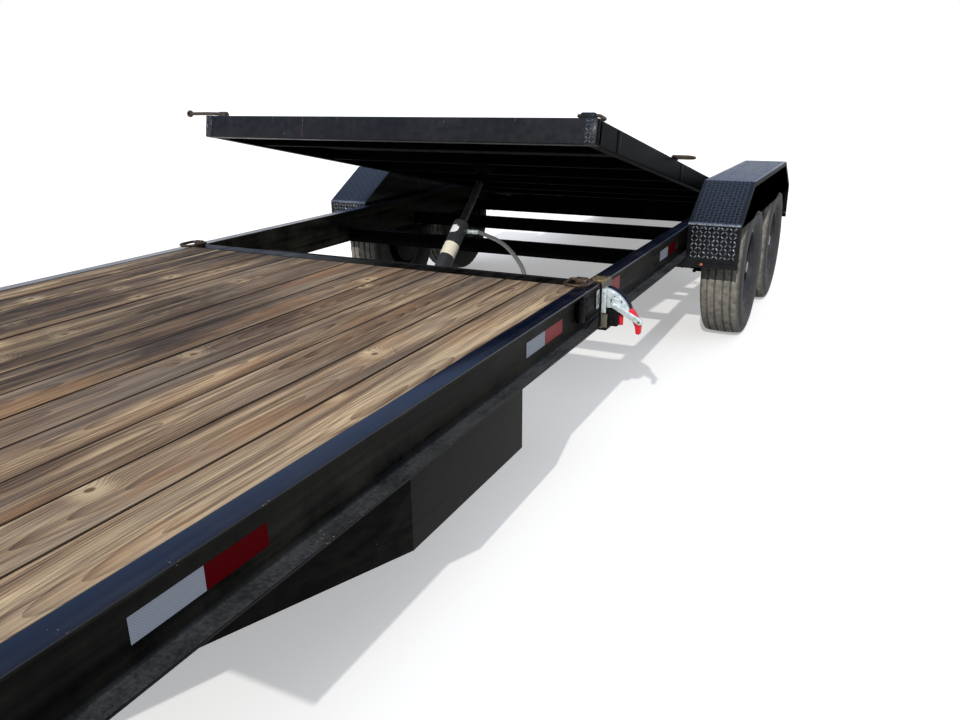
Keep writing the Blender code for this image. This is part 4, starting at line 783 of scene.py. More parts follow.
def build_fixed_deck():
    """The fixed deck's boards on their joists."""
    start, end = DECK_FRONT + 0.0523, -0.0763
    finish("deck_boards", board_row(FIXED_INSIDE, start, end, BOARD_PITCH, 3), fixed_pine, "weathered_wood",
           "fixed_deck")
    shapes = joists([start + 0.25 + (end - 0.15 - start - 0.25) * step / 3 for step in range(4)], 0.95, -0.114)
    finish("deck_joists", shapes, underside, "black_paint", "fixed_deck")


def build_bed_deck():
    """The bed's boards, their joists and the lifting ears."""
    start, end = 0.0553, BED_END
    boards = board_row(BED_INSIDE, start, end, BED_PITCH, 8)
    finish("bed_boards", boards, bed_pine, "weathered_wood", "bed_deck", body="tilt_bed")
    places = [start + 0.31 + (end - 0.25 - start - 0.31) * step / 9 for step in range(10)]
    shapes = joists(places, 0.937, -0.0887)
    back = max(y for y in places if y < 1.056) - 0.02
    ear = [(back, -0.0385), (1.086, -0.0385), (1.086, -0.105), (1.070, -0.125), (1.036, -0.125),
           (back, -0.0887)]
    for side in (-1, 1):
        low, high = span(side, 0.0208, 0.0308)
        shapes.append(drawn(ear, "X", low, high, 0.0015))
        shapes.append(pin("X", (1.056, -0.095), side * 0.031, side * 0.040, 0.017, 6, 0.001))
    finish("bed_joists", shapes, underside, "black_paint", "bed_deck", body="tilt_bed")


build_rails()
stick_tape()
build_fixed_deck()
build_bed_deck()


# Running gear

def rib_profile():
    """The tyre's section: side walls with a scuff rib, square shoulders and ribs with grooves."""
    half = [(0.083, 0.206), (0.086, 0.216), (0.096, 0.228), (0.104, 0.243), (0.1095, 0.265), (0.1120, 0.290),
            (0.1125, 0.315), (0.1110, 0.331), (0.1085, 0.333), (0.1080, 0.346), (0.104, 0.362),
            (0.100, 0.3735), (0.096, 0.3800), (0.090, 0.3835)]
    grooves = ((0.062, 0.0055), (0.0215, 0.0060))
    crown = []
    for centre, wide in grooves:
        top = 0.3868 if centre > 0.05 else 0.3885
        crown += [(centre + wide, top), (centre + wide - 0.0015, top - 0.0085),
                  (centre - wide + 0.0015, top - 0.0085), (centre - wide, top + 0.0004)]
    right = half + crown
    return right + [(-x, radius) for x, radius in reversed(right)]


def build_wheel(label, matrix):
    """A tyre, its steel wheel with hand holes, the hub with its cap, and eight nuts."""
    end, side = label.split("_")
    held = {"body": "wheel_" + end[0] + side[0], "matrix": matrix, "angle": 30}
    shape = lathe(rib_profile(), 144)
    layer = shape.verts.layers.float.new("tread")
    for corner in shape.verts:
        radius = math.hypot(corner.co.y, corner.co.z)
        if radius > 0.371 and abs(corner.co.x) > 0.069:
            turn = round(math.atan2(corner.co.z, corner.co.y) / math.tau * 144)
            depth = 0.0045 if turn % 3 == 0 else 0.0
            corner.co.y *= 1 - depth / radius
            corner.co.z *= 1 - depth / radius
        shoulder = 0.12 if abs(corner.co.x) > 0.1105 else 0.0
        corner[layer] = 1.0 if radius > 0.3835 else 0.55 if radius > 0.372 else shoulder
    finish("tyre_ribbed_" + label, shape, rubber, "tyre_rubber", "tyre_" + label, **held)
    rim = lathe([(-0.091, 0.196), (-0.091, 0.219), (-0.0828, 0.219), (-0.0828, 0.2055), (0.0828, 0.2055),
                 (0.0828, 0.219), (0.087, 0.2195), (0.091, 0.217), (0.091, 0.2125), (0.087, 0.2105),
                 (0.087, 0.198), (0.060, 0.190), (-0.060, 0.190), (-0.087, 0.196)], 72)
    disc = lathe([(0.0, 0.054), (0.006, 0.054), (0.010, 0.060), (0.010, 0.098), (0.016, 0.108),
                  (0.034, 0.122), (0.042, 0.132), (0.044, 0.146), (0.038, 0.164), (0.024, 0.178),
                  (0.020, 0.189), (0.013, 0.189), (0.017, 0.174), (0.030, 0.162), (0.036, 0.146),
                  (0.034, 0.134), (0.026, 0.126), (0.008, 0.112), (0.003, 0.104), (0.0, 0.096)], 72)
    wheel = finish("wheel_steel_" + label, [rim, disc], wheel_enamel, "wheel_paint", "wheel_" + label, **held)
    holes = []
    for step in range(8):
        cutter = block((-0.02, -0.019, 0.140), (0.08, 0.019, 0.166), 0.009, 4)
        cutter.transform(Matrix.Rotation(math.tau * (step + 0.5) / 8, 4, "X"))
        holes.append(cutter)
    pierced(wheel, holes, matrix)
    hub = [lathe([(-0.115, 0.024), (-0.115, 0.155), (-0.055, 0.155), (-0.050, 0.150), (-0.050, 0.052),
                  (0.040, 0.050), (0.044, 0.046), (0.044, 0.036), (0.070, 0.036), (0.078, 0.034),
                  (0.082, 0.028), (0.082, 0.0), (0.060, 0.0), (0.060, 0.024)], 48, False)]
    finish("hub_drum_" + label, hub, underside, "dark_steel", "wheel_" + label, **held)
    nuts = []
    for step in range(8):
        turn = Matrix.Rotation(math.tau * step / 8, 4, "X")
        nuts.append(hexagon(turn @ Vector((0.010, 0, 0.0826)), (1, 0, 0), 0.023, 0.018))
        nuts.append(bar(turn @ Vector((0.02, 0, 0.0826)), turn @ Vector((0.036, 0, 0.0826)), 0.0070, 12, 0.001))
    cap = lathe([(0.044, 0.0), (0.044, 0.0405), (0.050, 0.0405), (0.052, 0.037), (0.074, 0.0362),
                 (0.0815, 0.030), (0.084, 0.020), (0.085, 0.0)], 40, False)
    finish("hub_nuts_" + label, nuts, zinc, "zinc_plate", "wheel_" + label, **held)
    finish("hub_cap_" + label, cap, cap_grey, "zinc_plate", "wheel_" + label, **held)


for place, station in AXLES:
    for name, side in SIDES:
        turn = Matrix.Identity(4) if side == 1 else Matrix.Rotation(math.pi, 4, "Z")
        centre = Matrix.Translation((side * TRACK_HALF, station, AXLE_HEIGHT))
        build_wheel(place + "_" + name, DECK @ centre @ turn)


def fender_path():
    """The outside of a fender from its front skirt over the top to its rear skirt."""
    front, rear = FENDER_FEET
    return [Vector(corner) for corner in ((front, -0.181), (front, 0.015), (front + 0.33, 0.200),
                                          (rear - 0.33, 0.200), (rear, 0.015), (rear, -0.181))]


def tread_bars(path, low, high, pitch):
    """The raised bars of tread plate on each flat of a bent sheet, turned left and right by turns."""
    whole = bmesh.new()
    for here, there in zip(path, path[1:]):
        along = (there - here).normalized()
        out = Vector((-along.y, along.x))
        length = (there - here).length
        rows = max(1, int((length - 0.012) / pitch))
        columns = int((high - low - 0.012) / pitch)
        for row in range(rows):
            for column in range(columns):
                at = here + along * (length / 2 + (row - (rows - 1) / 2) * pitch)
                x = (low + high) / 2 + (column - (columns - 1) / 2) * pitch
                way = 45 if (row + column) % 2 else -45
                seed = bmesh.new()
                bmesh.ops.create_circle(seed, cap_ends=True, segments=8, radius=1)
                bmesh.ops.scale(seed, vec=(0.0102, 0.0039, 1), verts=seed.verts)
                bmesh.ops.translate(seed, vec=(0, 0, -0.0003), verts=seed.verts)
                for shrink, lift in ((0.74, 0.0010), (0.50, 0.0008)):
                    top = max(seed.faces, key=lambda face: face.calc_center_median().z)
                    raised = bmesh.ops.extrude_discrete_faces(seed, faces=[top])["faces"][0].verts
                    bmesh.ops.scale(seed, vec=(shrink, shrink, 1), verts=raised)
                    bmesh.ops.translate(seed, vec=(0, 0, lift), verts=raised)
                axes = Matrix(((1, 0, 0, x), (0, along.x, out.x, at.x), (0, along.y, out.y, at.y),
                               (0, 0, 0, 1)))
                seed.transform(axes @ Matrix.Rotation(math.radians(way), 4, "Z"))
                merge(whole, outward(seed))
    return whole


def build_fenders():
    """The tread-plate fenders with rolled outer edge, inboard panel, feet and marker lamps."""
    corners = fender_path()
    path = filleted(corners, 0.014, 4)
    for name, side in SIDES:
        sheet = band(path, 0, -0.004)
        low, high = span(side, FENDER_INNER, FENDER_OUTER)
        shapes = [drawn(sheet, "X", low, high, 0.0012, 1, 60)]
        within = offset(path, -0.002)
        panel = [point for point in within if point.y > 0.012]
        panel = [(panel[0].x, -0.008)] + panel + [(panel[-1].x, -0.008)]
        low, high = span(side, FENDER_INNER, FENDER_INNER + 0.004)
        shapes.append(drawn(panel, "X", low, high))
        low, high = span(side, FENDER_OUTER - 0.004, FENDER_OUTER)
        finish("fender_lip_" + name, drawn(band(within, 0, -0.026), "X", low, high, 0.0015, 2, 60), bed_enamel,
               "black_paint")
        low, high = span(side, WEB_OUTER, FENDER_OUTER)
        for foot, way in zip(FENDER_FEET, (1, -1)):
            shelf = filleted([(foot, -0.2163), (foot, -0.1783), (foot + way * 0.08, -0.1783)], 0.006, 3)
            shapes.append(drawn(band(shelf, 0, -way * 0.004), "X", low, high, 0.001, 1, 60))
        finish("fender_sheet_" + name, shapes, tread_enamel, "black_paint", "fender_" + name)
        low, high = span(side, FENDER_INNER, FENDER_OUTER)
        # the skirt bars get the bright glint steel, painted glints, while the bars on the slopes and top keep
        # the paler enamel
        parts = (corners[1:5], corners[:2], corners[4:])
        bars, painted_glints, rest = [tread_bars(part, low, high, 0.0215) for part in parts]
        merge(painted_glints, rest)
        # a bright strip laid over each lower bend is a painted highlight line
        for trio in zip(corners, corners[1:], corners[2:]):
            if trio[1].y < 0.1:
                bend = filleted(trio, 0.014, 6)[1:-1]
                merge(painted_glints, drawn(band(bend, 0.0002, -0.001), "X", low + 0.002, high - 0.002))
        finish("fender_skirt_glint_bars_" + name, painted_glints, tread_painted_glints, "black_paint", "fender_" + name, angle=85)
        # the bars on the fender's slopes and top: pale as worn paint and as painted sheen
        finish("fender_tread_" + name, bars, tread_worn_painted_sheen, "black_paint", "fender_" + name, angle=85)
        marker = pin("Y", (side * 1.093, -0.197), 1.4195, 1.410, 0.0085, 24, 0.0035)
        finish("marker_lamp_" + name, marker, lens_amber, "lamp_lens")


build_fenders()


# Bed latch on the left rail

def build_latch():
    """The over-centre latch: its post, slotted cover, tapered bar, red grips, block and pin housing."""
    face, near, far = 1.0196, 0.022, 0.042
    post = [block((1.0093, 0.010, -0.176), (1.0193, 0.110, 0.0060), 0.0015),
            block((1.0160, 0.0060, -0.170), (1.0400, 0.0105, -0.1165), 0.0012)]
    finish("latch_post_plate", post, post_steel, "dark_steel", "latch_post")
    # a black foot under the post, and a black strip along the post's front edge that is painted shade of the
    # gap beside it
    dark = [block((0.990, 0.020, -0.186), (1.034, 0.090, -0.1765), 0.003),
            block((1.0060, 0.0060, -0.168), (1.0158, 0.0098, -0.004), 0.001)]
    finish("latch_post_foot_and_gap_shade", dark, cover_black, "dark_steel")
    cap = [block((0.966, 0.010, 0.0003), (1.0205, 0.084, 0.0083), 0.0025)]
    finish("latch_post_cap", cap, worn_steel, "rusty_steel", "latch_post")
    angle = [block((1.0162, 0.0052, -0.1130), (1.0340, 0.0092, -0.0215), 0.0012),
             block((1.0197, 0.0055, -0.113), (1.0235, 0.070, -0.0215), 0.0012)]
    angle.append(hexagon((1.0250, 0.0052, -0.034), (0, -1, 0), 0.009, 0.003))
    finish("latch_angle", angle, zinc, "zinc_plate", "latch_bracket")
    knots = ((0.0, 0.022), (0.016, 0.024), (0.034, 0.031), (0.060, 0.047), (0.086, 0.075), (0.101, 0.106))
    curve = [point.to_2d() for point in smooth_path([(face + a, -b, 0) for a, b in knots], 5)]
    outline = curve + [(face + 0.088, -0.112), (face + 0.060, -0.106), (face + 0.030, -0.096), (face, -0.098)]
    backing = [(x + 0.0022, z + 0.0010) for x, z in outline[:-4]] + outline[-4:]
    finish("latch_cover_back", drawn(backing, "Y", far - 0.003, 0.070, 0.004, 3, 50), cover_black, "dark_steel")
    shell = finish("latch_cover", drawn(outline, "Y", near, far, 0.006, 3, 50), zinc, "zinc_plate",
                   "latch_bracket")
    inner = offset(curve, -0.003) + [(face + 0.082, -0.13), (face + 0.003, -0.13)]
    cuts = [drawn(inner, "Y", near + 0.003, far - 0.001)]
    for x, z, wide, high in ((1.0475, -0.0680, 0.0026, 0.0065), (1.0880, -0.0690, 0.0024, 0.0036),
                             (1.0600, -0.0500, 0.0040, 0.0014)):
        cuts.append(block((x - wide, near - 0.01, z - high), (x + wide, near + 0.01, z + high), 0.0015))
    pierced(shell, cuts)
    ribs = [bar((x, near - 0.0002, z), (end, near - 0.0002, foot), 0.0018, 12, 0.0006)
            for x, z, end, foot in ((1.040, -0.052, 1.079, -0.063), (1.068, -0.076, 1.090, -0.092))]
    finish("latch_cover_ribs", ribs, zinc, "zinc_plate")
    first, last = Vector((1.0595, -0.0835)), Vector((1.1600, -0.1360))
    along = (last - first).normalized()
    around = math.atan2(along.y, along.x)
    outline = []
    for centre, radius, start in ((last, 0.0125, around - math.pi / 2), (first, 0.0105, around + math.pi / 2)):
        for step in range(13):
            turn = start + math.pi * step / 12
            outline.append((centre.x + radius * math.cos(turn), centre.y + radius * math.sin(turn)))
    lever = [drawn(outline, "Y", 0.0125, 0.0215, 0.0022, 3, 50)]
    lever.append(pin("Y", (last.x, last.y), 0.0125, 0.0095, 0.0088, 28, 0.001))
    lever.append(pin("Y", (first.x, first.y), 0.0125, 0.0090, 0.0060, 6, 0.0008))
    lever.append(bar((1.0770, 0.060, -0.095), (1.0775, 0.060, -0.130), 0.0058, 20, 0.001))
    finish("latch_bar", lever, zinc, "zinc_plate", "latch_lever")
    rivet = [pin("Y", (last.x, last.y), 0.0095, 0.0085, 0.0050, 20, 0.0005)]
    finish("latch_rivet", rivet, worn_steel, "rusty_steel")
    grip = [(1.104, -0.110), (1.124, -0.0905), (1.139, -0.103), (1.150, -0.122), (1.160, -0.143),
            (1.164, -0.154), (1.163, -0.184), (1.158, -0.188), (1.150, -0.188), (1.145, -0.184),
            (1.141, -0.158), (1.131, -0.140), (1.118, -0.121)]
    grips = [drawn(grip, "Y", 0.024, 0.046, 0.0055, 3, 30)]
    grips.append(bar((1.0775, 0.060, -0.122), (1.0778, 0.060, -0.168), 0.0092, 24, 0.004))
    finish("latch_grips", grips, red_grip, "zinc_plate", "latch_lever")
    shapes = [block((1.0239, 0.031, -0.1700), (1.0729, 0.089, -0.104), 0.006, 3),
              pin("Y", (1.048, -0.150), 0.031, 0.024, 0.010, 24, 0.002)]
    finish("latch_block_moulded", shapes, cover_black, "dark_steel", "latch_block")
    # the pin housing on the web, with its cap and cross pin
    x, y = 0.9748, -0.108
    housing = [pin("Z", (x, y), -0.128, -0.052, 0.0172, 36, 0.006),
               pin("Z", (x, y), -0.056, -0.034, 0.0155, 36, 0.008)]
    housing.append(pin("Y", (x, -0.058), y, y + 0.052, 0.0062, 16, 0.002))
    housing.append(block((0.9564, y - 0.010, -0.115), (0.9640, y + 0.010, -0.060), 0.001))
    finish("latch_pin_housing", housing, cover_black, "dark_steel", "latch_housing")
    # a plated slotted plate on the web behind the post
    plate = finish("latch_keeper", block((0.9564, 0.115, -0.135), (0.9610, 0.150, -0.060), 0.001), zinc,
                   "zinc_plate")
    pierced(plate, [block((0.95, 0.126, -0.120), (0.97, 0.139, -0.075), 0.004)])


build_latch()


# Cushion cylinder

EYE = ((-0.0198, 0.0), (-0.0198, 0.0285), (-0.0185, 0.0298), (0.0185, 0.0298), (0.0198, 0.0285), (0.0198, 0.0))


def build_cylinder():
    """The painted tube with its gland, band and blank label, its fittings, and the rod with its eye."""
    quarter = Matrix.Rotation(math.pi / 2, 4, "Z")
    tube_shape = lathe([(0.075, 0.0), (0.075, 0.034), (0.0765, 0.0355), (0.081, 0.0355), (0.083, 0.0380),
                        (0.446, 0.0380), (0.447, 0.0366), (0.4495, 0.0366), (0.4505, 0.0385),
                        (0.474, 0.0385), (0.4798, 0.0340), (0.4798, 0.0205), (0.470, 0.0200), (0.470, 0.0)],
                        64, False, place=quarter)
    shapes = [tube_shape]
    shapes += [lathe(EYE, 40, False), block((-0.017, 0.012, -0.017), (0.017, 0.078, 0.017), 0.003)]
    shapes.append(pin("X", (HOSE_PORT, 0), 0.030, 0.054, 0.0140, 28, 0.002))
    finish("cylinder_tube_painted", shapes, dark_primer, "dark_steel", "cylinder_tube", body="cylinder")
    fitting = [hexagon((0.054, HOSE_PORT, 0), (1, 0, 0), 0.020, 0.009),
               pin("X", (HOSE_PORT, 0), 0.063, 0.0745, 0.0085, 20, 0.001)]
    for start, end, wide in ((0.0745, 0.0790, 0.0115), (0.0800, 0.0880, 0.0108), (0.0890, 0.0960, 0.0112),
                             (0.0970, 0.1120, 0.0106)):
        fitting.append(pin("X", (HOSE_PORT, 0), start, end, wide, 24, 0.0012))
    finish("cylinder_port_nut", fitting, zinc, "zinc_plate", body="cylinder")
    stripe = lathe([(0.2600, 0.0381), (0.2600, 0.0384), (0.3350, 0.0384), (0.3350, 0.0381)], 64, place=quarter)
    finish("cylinder_band", stripe, cream, "dark_steel", body="cylinder")
    # a torn label wrapped over the upper part of the tube, on the side towards the front
    shape = bmesh.new()
    rows = []
    for edge, ends in ((0.392, (88, 130)), (0.399, (70, 150)), (0.416, (60, 158)), (0.430, (64, 150)),
                       (0.440, (84, 138))):
        row = []
        for step in range(9):
            turn = math.radians(ends[0] + (ends[1] - ends[0]) * step / 8)
            row.append(shape.verts.new((0.0384 * math.cos(turn), edge, 0.0384 * math.sin(turn))))
        rows.append(row)
    for lower, upper in zip(rows, rows[1:]):
        for step in range(8):
            shape.faces.new((lower[step], lower[step + 1], upper[step + 1], upper[step]))
    bmesh.ops.solidify(shape, geom=shape.faces[:], thickness=0.0003)
    finish("cylinder_label", outward(shape), sticker, "dark_steel", body="cylinder")
    shank, collar = ROD_REACH - 0.030, ROD_REACH - 0.020
    rod_shape = lathe([(0.40, 0.0), (0.40, 0.0187), (shank - 0.004, 0.0187), (shank, 0.0175), (collar, 0.0175),
                       (collar, 0.0)], 48, False, place=quarter)
    finish("cylinder_rod_chromed", rod_shape, chrome, "chromed_rod", "cylinder_rod", body="cylinder_piston")
    head = lathe(EYE, 40, False, place=Matrix.Translation((0, ROD_REACH, 0)))
    finish("cylinder_eye", head, underside, "dark_steel", "cylinder_rod", body="cylinder_piston")


build_cylinder()


# Tie rings

def saddle():
    """A bent strap over the straight bar of a ring."""
    half = [(0.0040, 0.0238), (0.0105, 0.0190), (0.0138, 0.012), (0.0138, 0.0003)]
    return drawn([(-x, z) for x, z in half[::-1]] + half, "X", -0.0218, 0.0218, 0.002, 2, 50)


def ring_on_strap(place, turn, inner=0.0355, length=0.100, thick=0.0066):
    """A forged D ring lying flat, with the bent strap that holds its straight bar."""
    reach, height = inner + thick, 0.0076 + thick
    bow = [(reach * math.cos(a), length - reach + reach * math.sin(a), height)
           for a in (math.pi * step / 16 for step in range(17))]
    corners = filleted([(-reach, 0.03, height), (-reach, 0, height), (reach, 0, height), (reach, 0.03, height)],
                       0.010, 5)
    ring = tube(corners + bow, thick - 0.0003, 14, closed=True)
    strap = saddle()
    for shape in (ring, strap):
        shape.transform(Matrix.Translation(place) @ turn)
    return [ring, strap]


def build_rings():
    """The rings on the fixed deck's corners and on the bed, and the eye bar at its right corner."""
    half_turn = Matrix.Rotation(math.pi, 4, "Z")
    for name, side in SIDES:
        outward_turn = Matrix.Rotation(-math.pi / 2 * side, 4, "Z")
        ring, strap = ring_on_strap((side * (FRAME_HALF - 0.058), -0.032, 0), half_turn)
        finish("deck_ring_" + name, ring, rusty, "rusty_steel", "tie_ring_" + name)
        finish("deck_ring_strap_" + name, strap, rusty, "rusty_steel")
        ring, strap = ring_on_strap((side * (BED_HALF - 0.014), 1.300, 0), outward_turn)
        finish("bed_ring_" + name, ring, rusty, "rusty_steel", "bed_ring_side_" + name, body="tilt_bed")
        finish("bed_ring_strap_" + name, strap, header_enamel, "rusty_steel", body="tilt_bed")
    ring, strap = ring_on_strap((BED_HALF - 0.034 - 0.016, 0.060, 0), Matrix.Identity(4))
    finish("bed_ring_corner", ring, rusty, "rusty_steel", "bed_ring_front", body="tilt_bed")
    merge(strap, block((BED_HALF - 0.080, 0.044, 0.0003), (BED_HALF - 0.020, 0.076, 0.0250), 0.008, 3))
    finish("bed_ring_corner_strap", strap, header_enamel, "rusty_steel", body="tilt_bed")
    inner = -BED_HALF + 0.060
    tip, height = inner - 0.210, 0.0143
    strap = saddle()
    strap.transform(Matrix.Translation((inner, 0.060, 0)))
    eye = lathe([(-0.0068, 0.0066), (-0.0068, 0.0140), (-0.0048, 0.0158), (0.0048, 0.0158), (0.0068, 0.0140),
                 (0.0068, 0.0066)], 36,
                place=Matrix.Translation((tip, 0.060, height)) @ Matrix.Rotation(math.pi / 2, 4, "Z"))
    shaft = tube([(inner + 0.02, 0.060, height), (inner, 0.060, height), (-0.98, 0.060, height + 0.001),
                  (tip + 0.013, 0.060, height)], 0.0075, 16)
    finish("bed_eye_rod", [strap, eye, shaft], rusty, "rusty_steel", "bed_eye_bar", body="tilt_bed")


build_rings()


# Bed frame

def bed_channel(depth, flange, wall):
    """The outline of the bed's pressed channel, its web at 0 and its bends rounded."""
    return band(filleted([(flange, 0), (0, 0), (0, depth), (flange, depth)], 0.007, 4), 0, -wall)


def build_bed_frame():
    """The bed's header with tread plate over both ends, its side channels, lugs, nicks and scuffs."""
    depth, front = BED_DEPTH, BED_FRONT
    section = [(front + a, -depth + b) for a, b in bed_channel(depth, 0.040, 0.007)]
    header = drawn(section, "X", -BED_HALF + 0.0005, BED_HALF - 0.0005)
    finish("bed_header_channel", header, header_enamel, "black_paint", "bed_header", body="tilt_bed")
    ends, bars, sides = [], [], []
    for side, wide in ((1, 0.044), (-1, 0.036)):
        low, high = span(side, BED_HALF - wide, BED_HALF)
        ends.append(block((low, front - 0.0026, -depth + 0.001), (high, front + 0.001, -0.0005), 0.0006, 1))
        low, high = span(side, BED_HALF - 0.0030, BED_HALF)
        sides.append(block((low, front + 0.0006, -depth + 0.001), (high, front + 0.060, -0.0005), 0.0006, 1))
        for row in range(6):
            for column in range(2 if side < 0 else 3):
                seed = bmesh.new()
                bmesh.ops.create_uvsphere(seed, u_segments=10, v_segments=6, radius=1)
                bmesh.ops.scale(seed, vec=(0.0085, 0.0020, 0.0030), verts=seed.verts)
                way = math.radians(45 if (row + column) % 2 else -45)
                seed.transform(Matrix.Rotation(way, 4, "Y"))
                at = side * (BED_HALF - 0.0085 - column * 0.0145)
                seed.transform(Matrix.Translation((at, front - 0.0028, -depth + 0.0115 + row * 0.0147)))
                bars.append(seed)
    # the header's end bars take the pale bar enamel, partly worn paint and partly painted sheen
    finish("bed_header_end_bars", bars, tread_worn_painted_sheen, "black_paint", body="tilt_bed", angle=60)
    finish("bed_header_sides", sides, bed_enamel, "black_paint", body="tilt_bed", angle=60)
    finish("bed_header_ends", ends, end_enamel, "black_paint", "bed_header", body="tilt_bed", angle=60)
    nicks = []
    chance = random.Random(5)
    for x in (-0.9105, -0.554, -0.388, -0.208, 0.31, 0.62):
        for _ in range(9 if x < -0.9 else 3):
            z = -chance.uniform(0.002, 0.088 if x < -0.9 else 0.020)
            wide, high = chance.uniform(0.0008, 0.0020), chance.uniform(0.002, 0.0065)
            shift = chance.uniform(-0.002, 0.002)
            nicks.append(block((x + shift - wide, front - 0.0004, z - high),
                               (x + shift + wide, front + 0.0005, z), 0.0002, 1))
        if x == -0.388:
            nicks.append(block((x - 0.0007, front - 0.0003, -0.088), (x + 0.0007, front + 0.0005, -0.006),
                               0.0002, 1))
    finish("bed_header_nicks", nicks, bare_rust, "dark_steel", body="tilt_bed")
    for name, side in SIDES:
        section = [(side * (BED_HALF - a), -depth + b) for a, b in bed_channel(depth, 0.040, 0.007)]
        rail = drawn(section, "Y", BED_FRONT + 0.0403, BED_END)
        arc = [(PIVOT.y + 0.040 * math.cos(turn), PIVOT.z + 0.040 * math.sin(turn))
               for turn in (math.pi + math.pi * step / 16 for step in range(17))]
        lug = [(PIVOT.y - 0.055, -0.0945)] + arc + [(PIVOT.y + 0.055, -0.0945)]
        low, high = span(side, BED_HALF - 0.036, BED_HALF - 0.022)
        made = finish("bed_rail_channel_" + name, [rail, drawn(lug, "X", low, high, 0.0012, 1, 60)], bed_enamel,
                      "black_paint", "bed_rail_" + name, body="tilt_bed")
        pierced(made, [pin("X", PIVOT.yz, side * (BED_HALF - 0.05), side * (BED_HALF - 0.01), 0.0248, 40)], BED)
        # flat straps welded over the web, behind the corner and behind the side ring
        low, high = span(side, BED_HALF - 0.0002, BED_HALF + 0.0022)
        straps = [block((low, place - 0.025, -0.092), (high, place + 0.025, -0.004), 0.0008, 2)
                  for place in (0.300, 1.420)]
        finish("bed_side_straps_" + name, straps, bed_enamel, "black_paint", body="tilt_bed")


build_bed_frame()


# Coupler and jack

def build_coupler():
    """The ball coupler on its mast: rounded head over an open socket, lid, lever, pad and bolts."""
    back = MAST_FRONT - 0.0106
    low, high, radius = -0.235, -0.161, 0.048
    ball = Vector((0, back - 0.300 + radius, low + 0.030))
    turn = [math.pi + math.pi * step / 24 for step in range(25)]
    head = [(ball.x + radius * math.cos(a), ball.y + radius * math.sin(a)) for a in turn]
    head = drawn(head + [(radius, back - 0.010), (-radius, back - 0.010)], "Z", low, high, 0.009, 4, 50)
    made = finish("coupler_head", head, worn_black, "dark_steel", "coupler")
    socket = bmesh.new()
    bmesh.ops.create_uvsphere(socket, u_segments=40, v_segments=24, radius=0.0315)
    socket.transform(Matrix.Translation(ball))
    mouth = pin("Z", (0, ball.y), low - 0.006, ball.z - 0.006, 0.0335, 48)
    pierced(made, [socket, mouth])
    inside = 0.0547
    parts = [block((-inside, back - 0.014, low - 0.060), (inside, back, high + 0.020), 0.002)]
    lid = lathe([(high - 0.002, 0.0), (high - 0.002, 0.0384), (high + 0.006, 0.0380), (high + 0.016, 0.0310),
                 (high + 0.022, 0.022), (high + 0.022, 0.0)], 48, False,
                place=Matrix.Translation((0, ball.y, 0)) @ Matrix.Rotation(-math.pi / 2, 4, "Y"))
    parts.append(lid)
    hinge = back - 0.060
    parts.append(block((-0.020, hinge - 0.050, high - 0.002), (0.020, hinge, high + 0.020), 0.004, 3))
    finish("coupler_pad", parts, worn_black, "dark_steel", "coupler")
    parts = [block((-0.012, ball.y, high + 0.0175), (0.012, hinge, high + 0.0255), 0.0035, 3)]
    for z in (low - 0.040, high + 0.004):
        for side in (-1, 1):
            parts.append(hexagon((side * (inside - 0.013), back - 0.014, z), (0, -1, 0), 0.019, 0.009))
    parts.append(pin("X", (hinge - 0.025, high + 0.012), -0.0225, 0.0225, 0.0050, 16, 0.001))
    finish("coupler_lever", parts, zinc, "zinc_plate", "coupler")


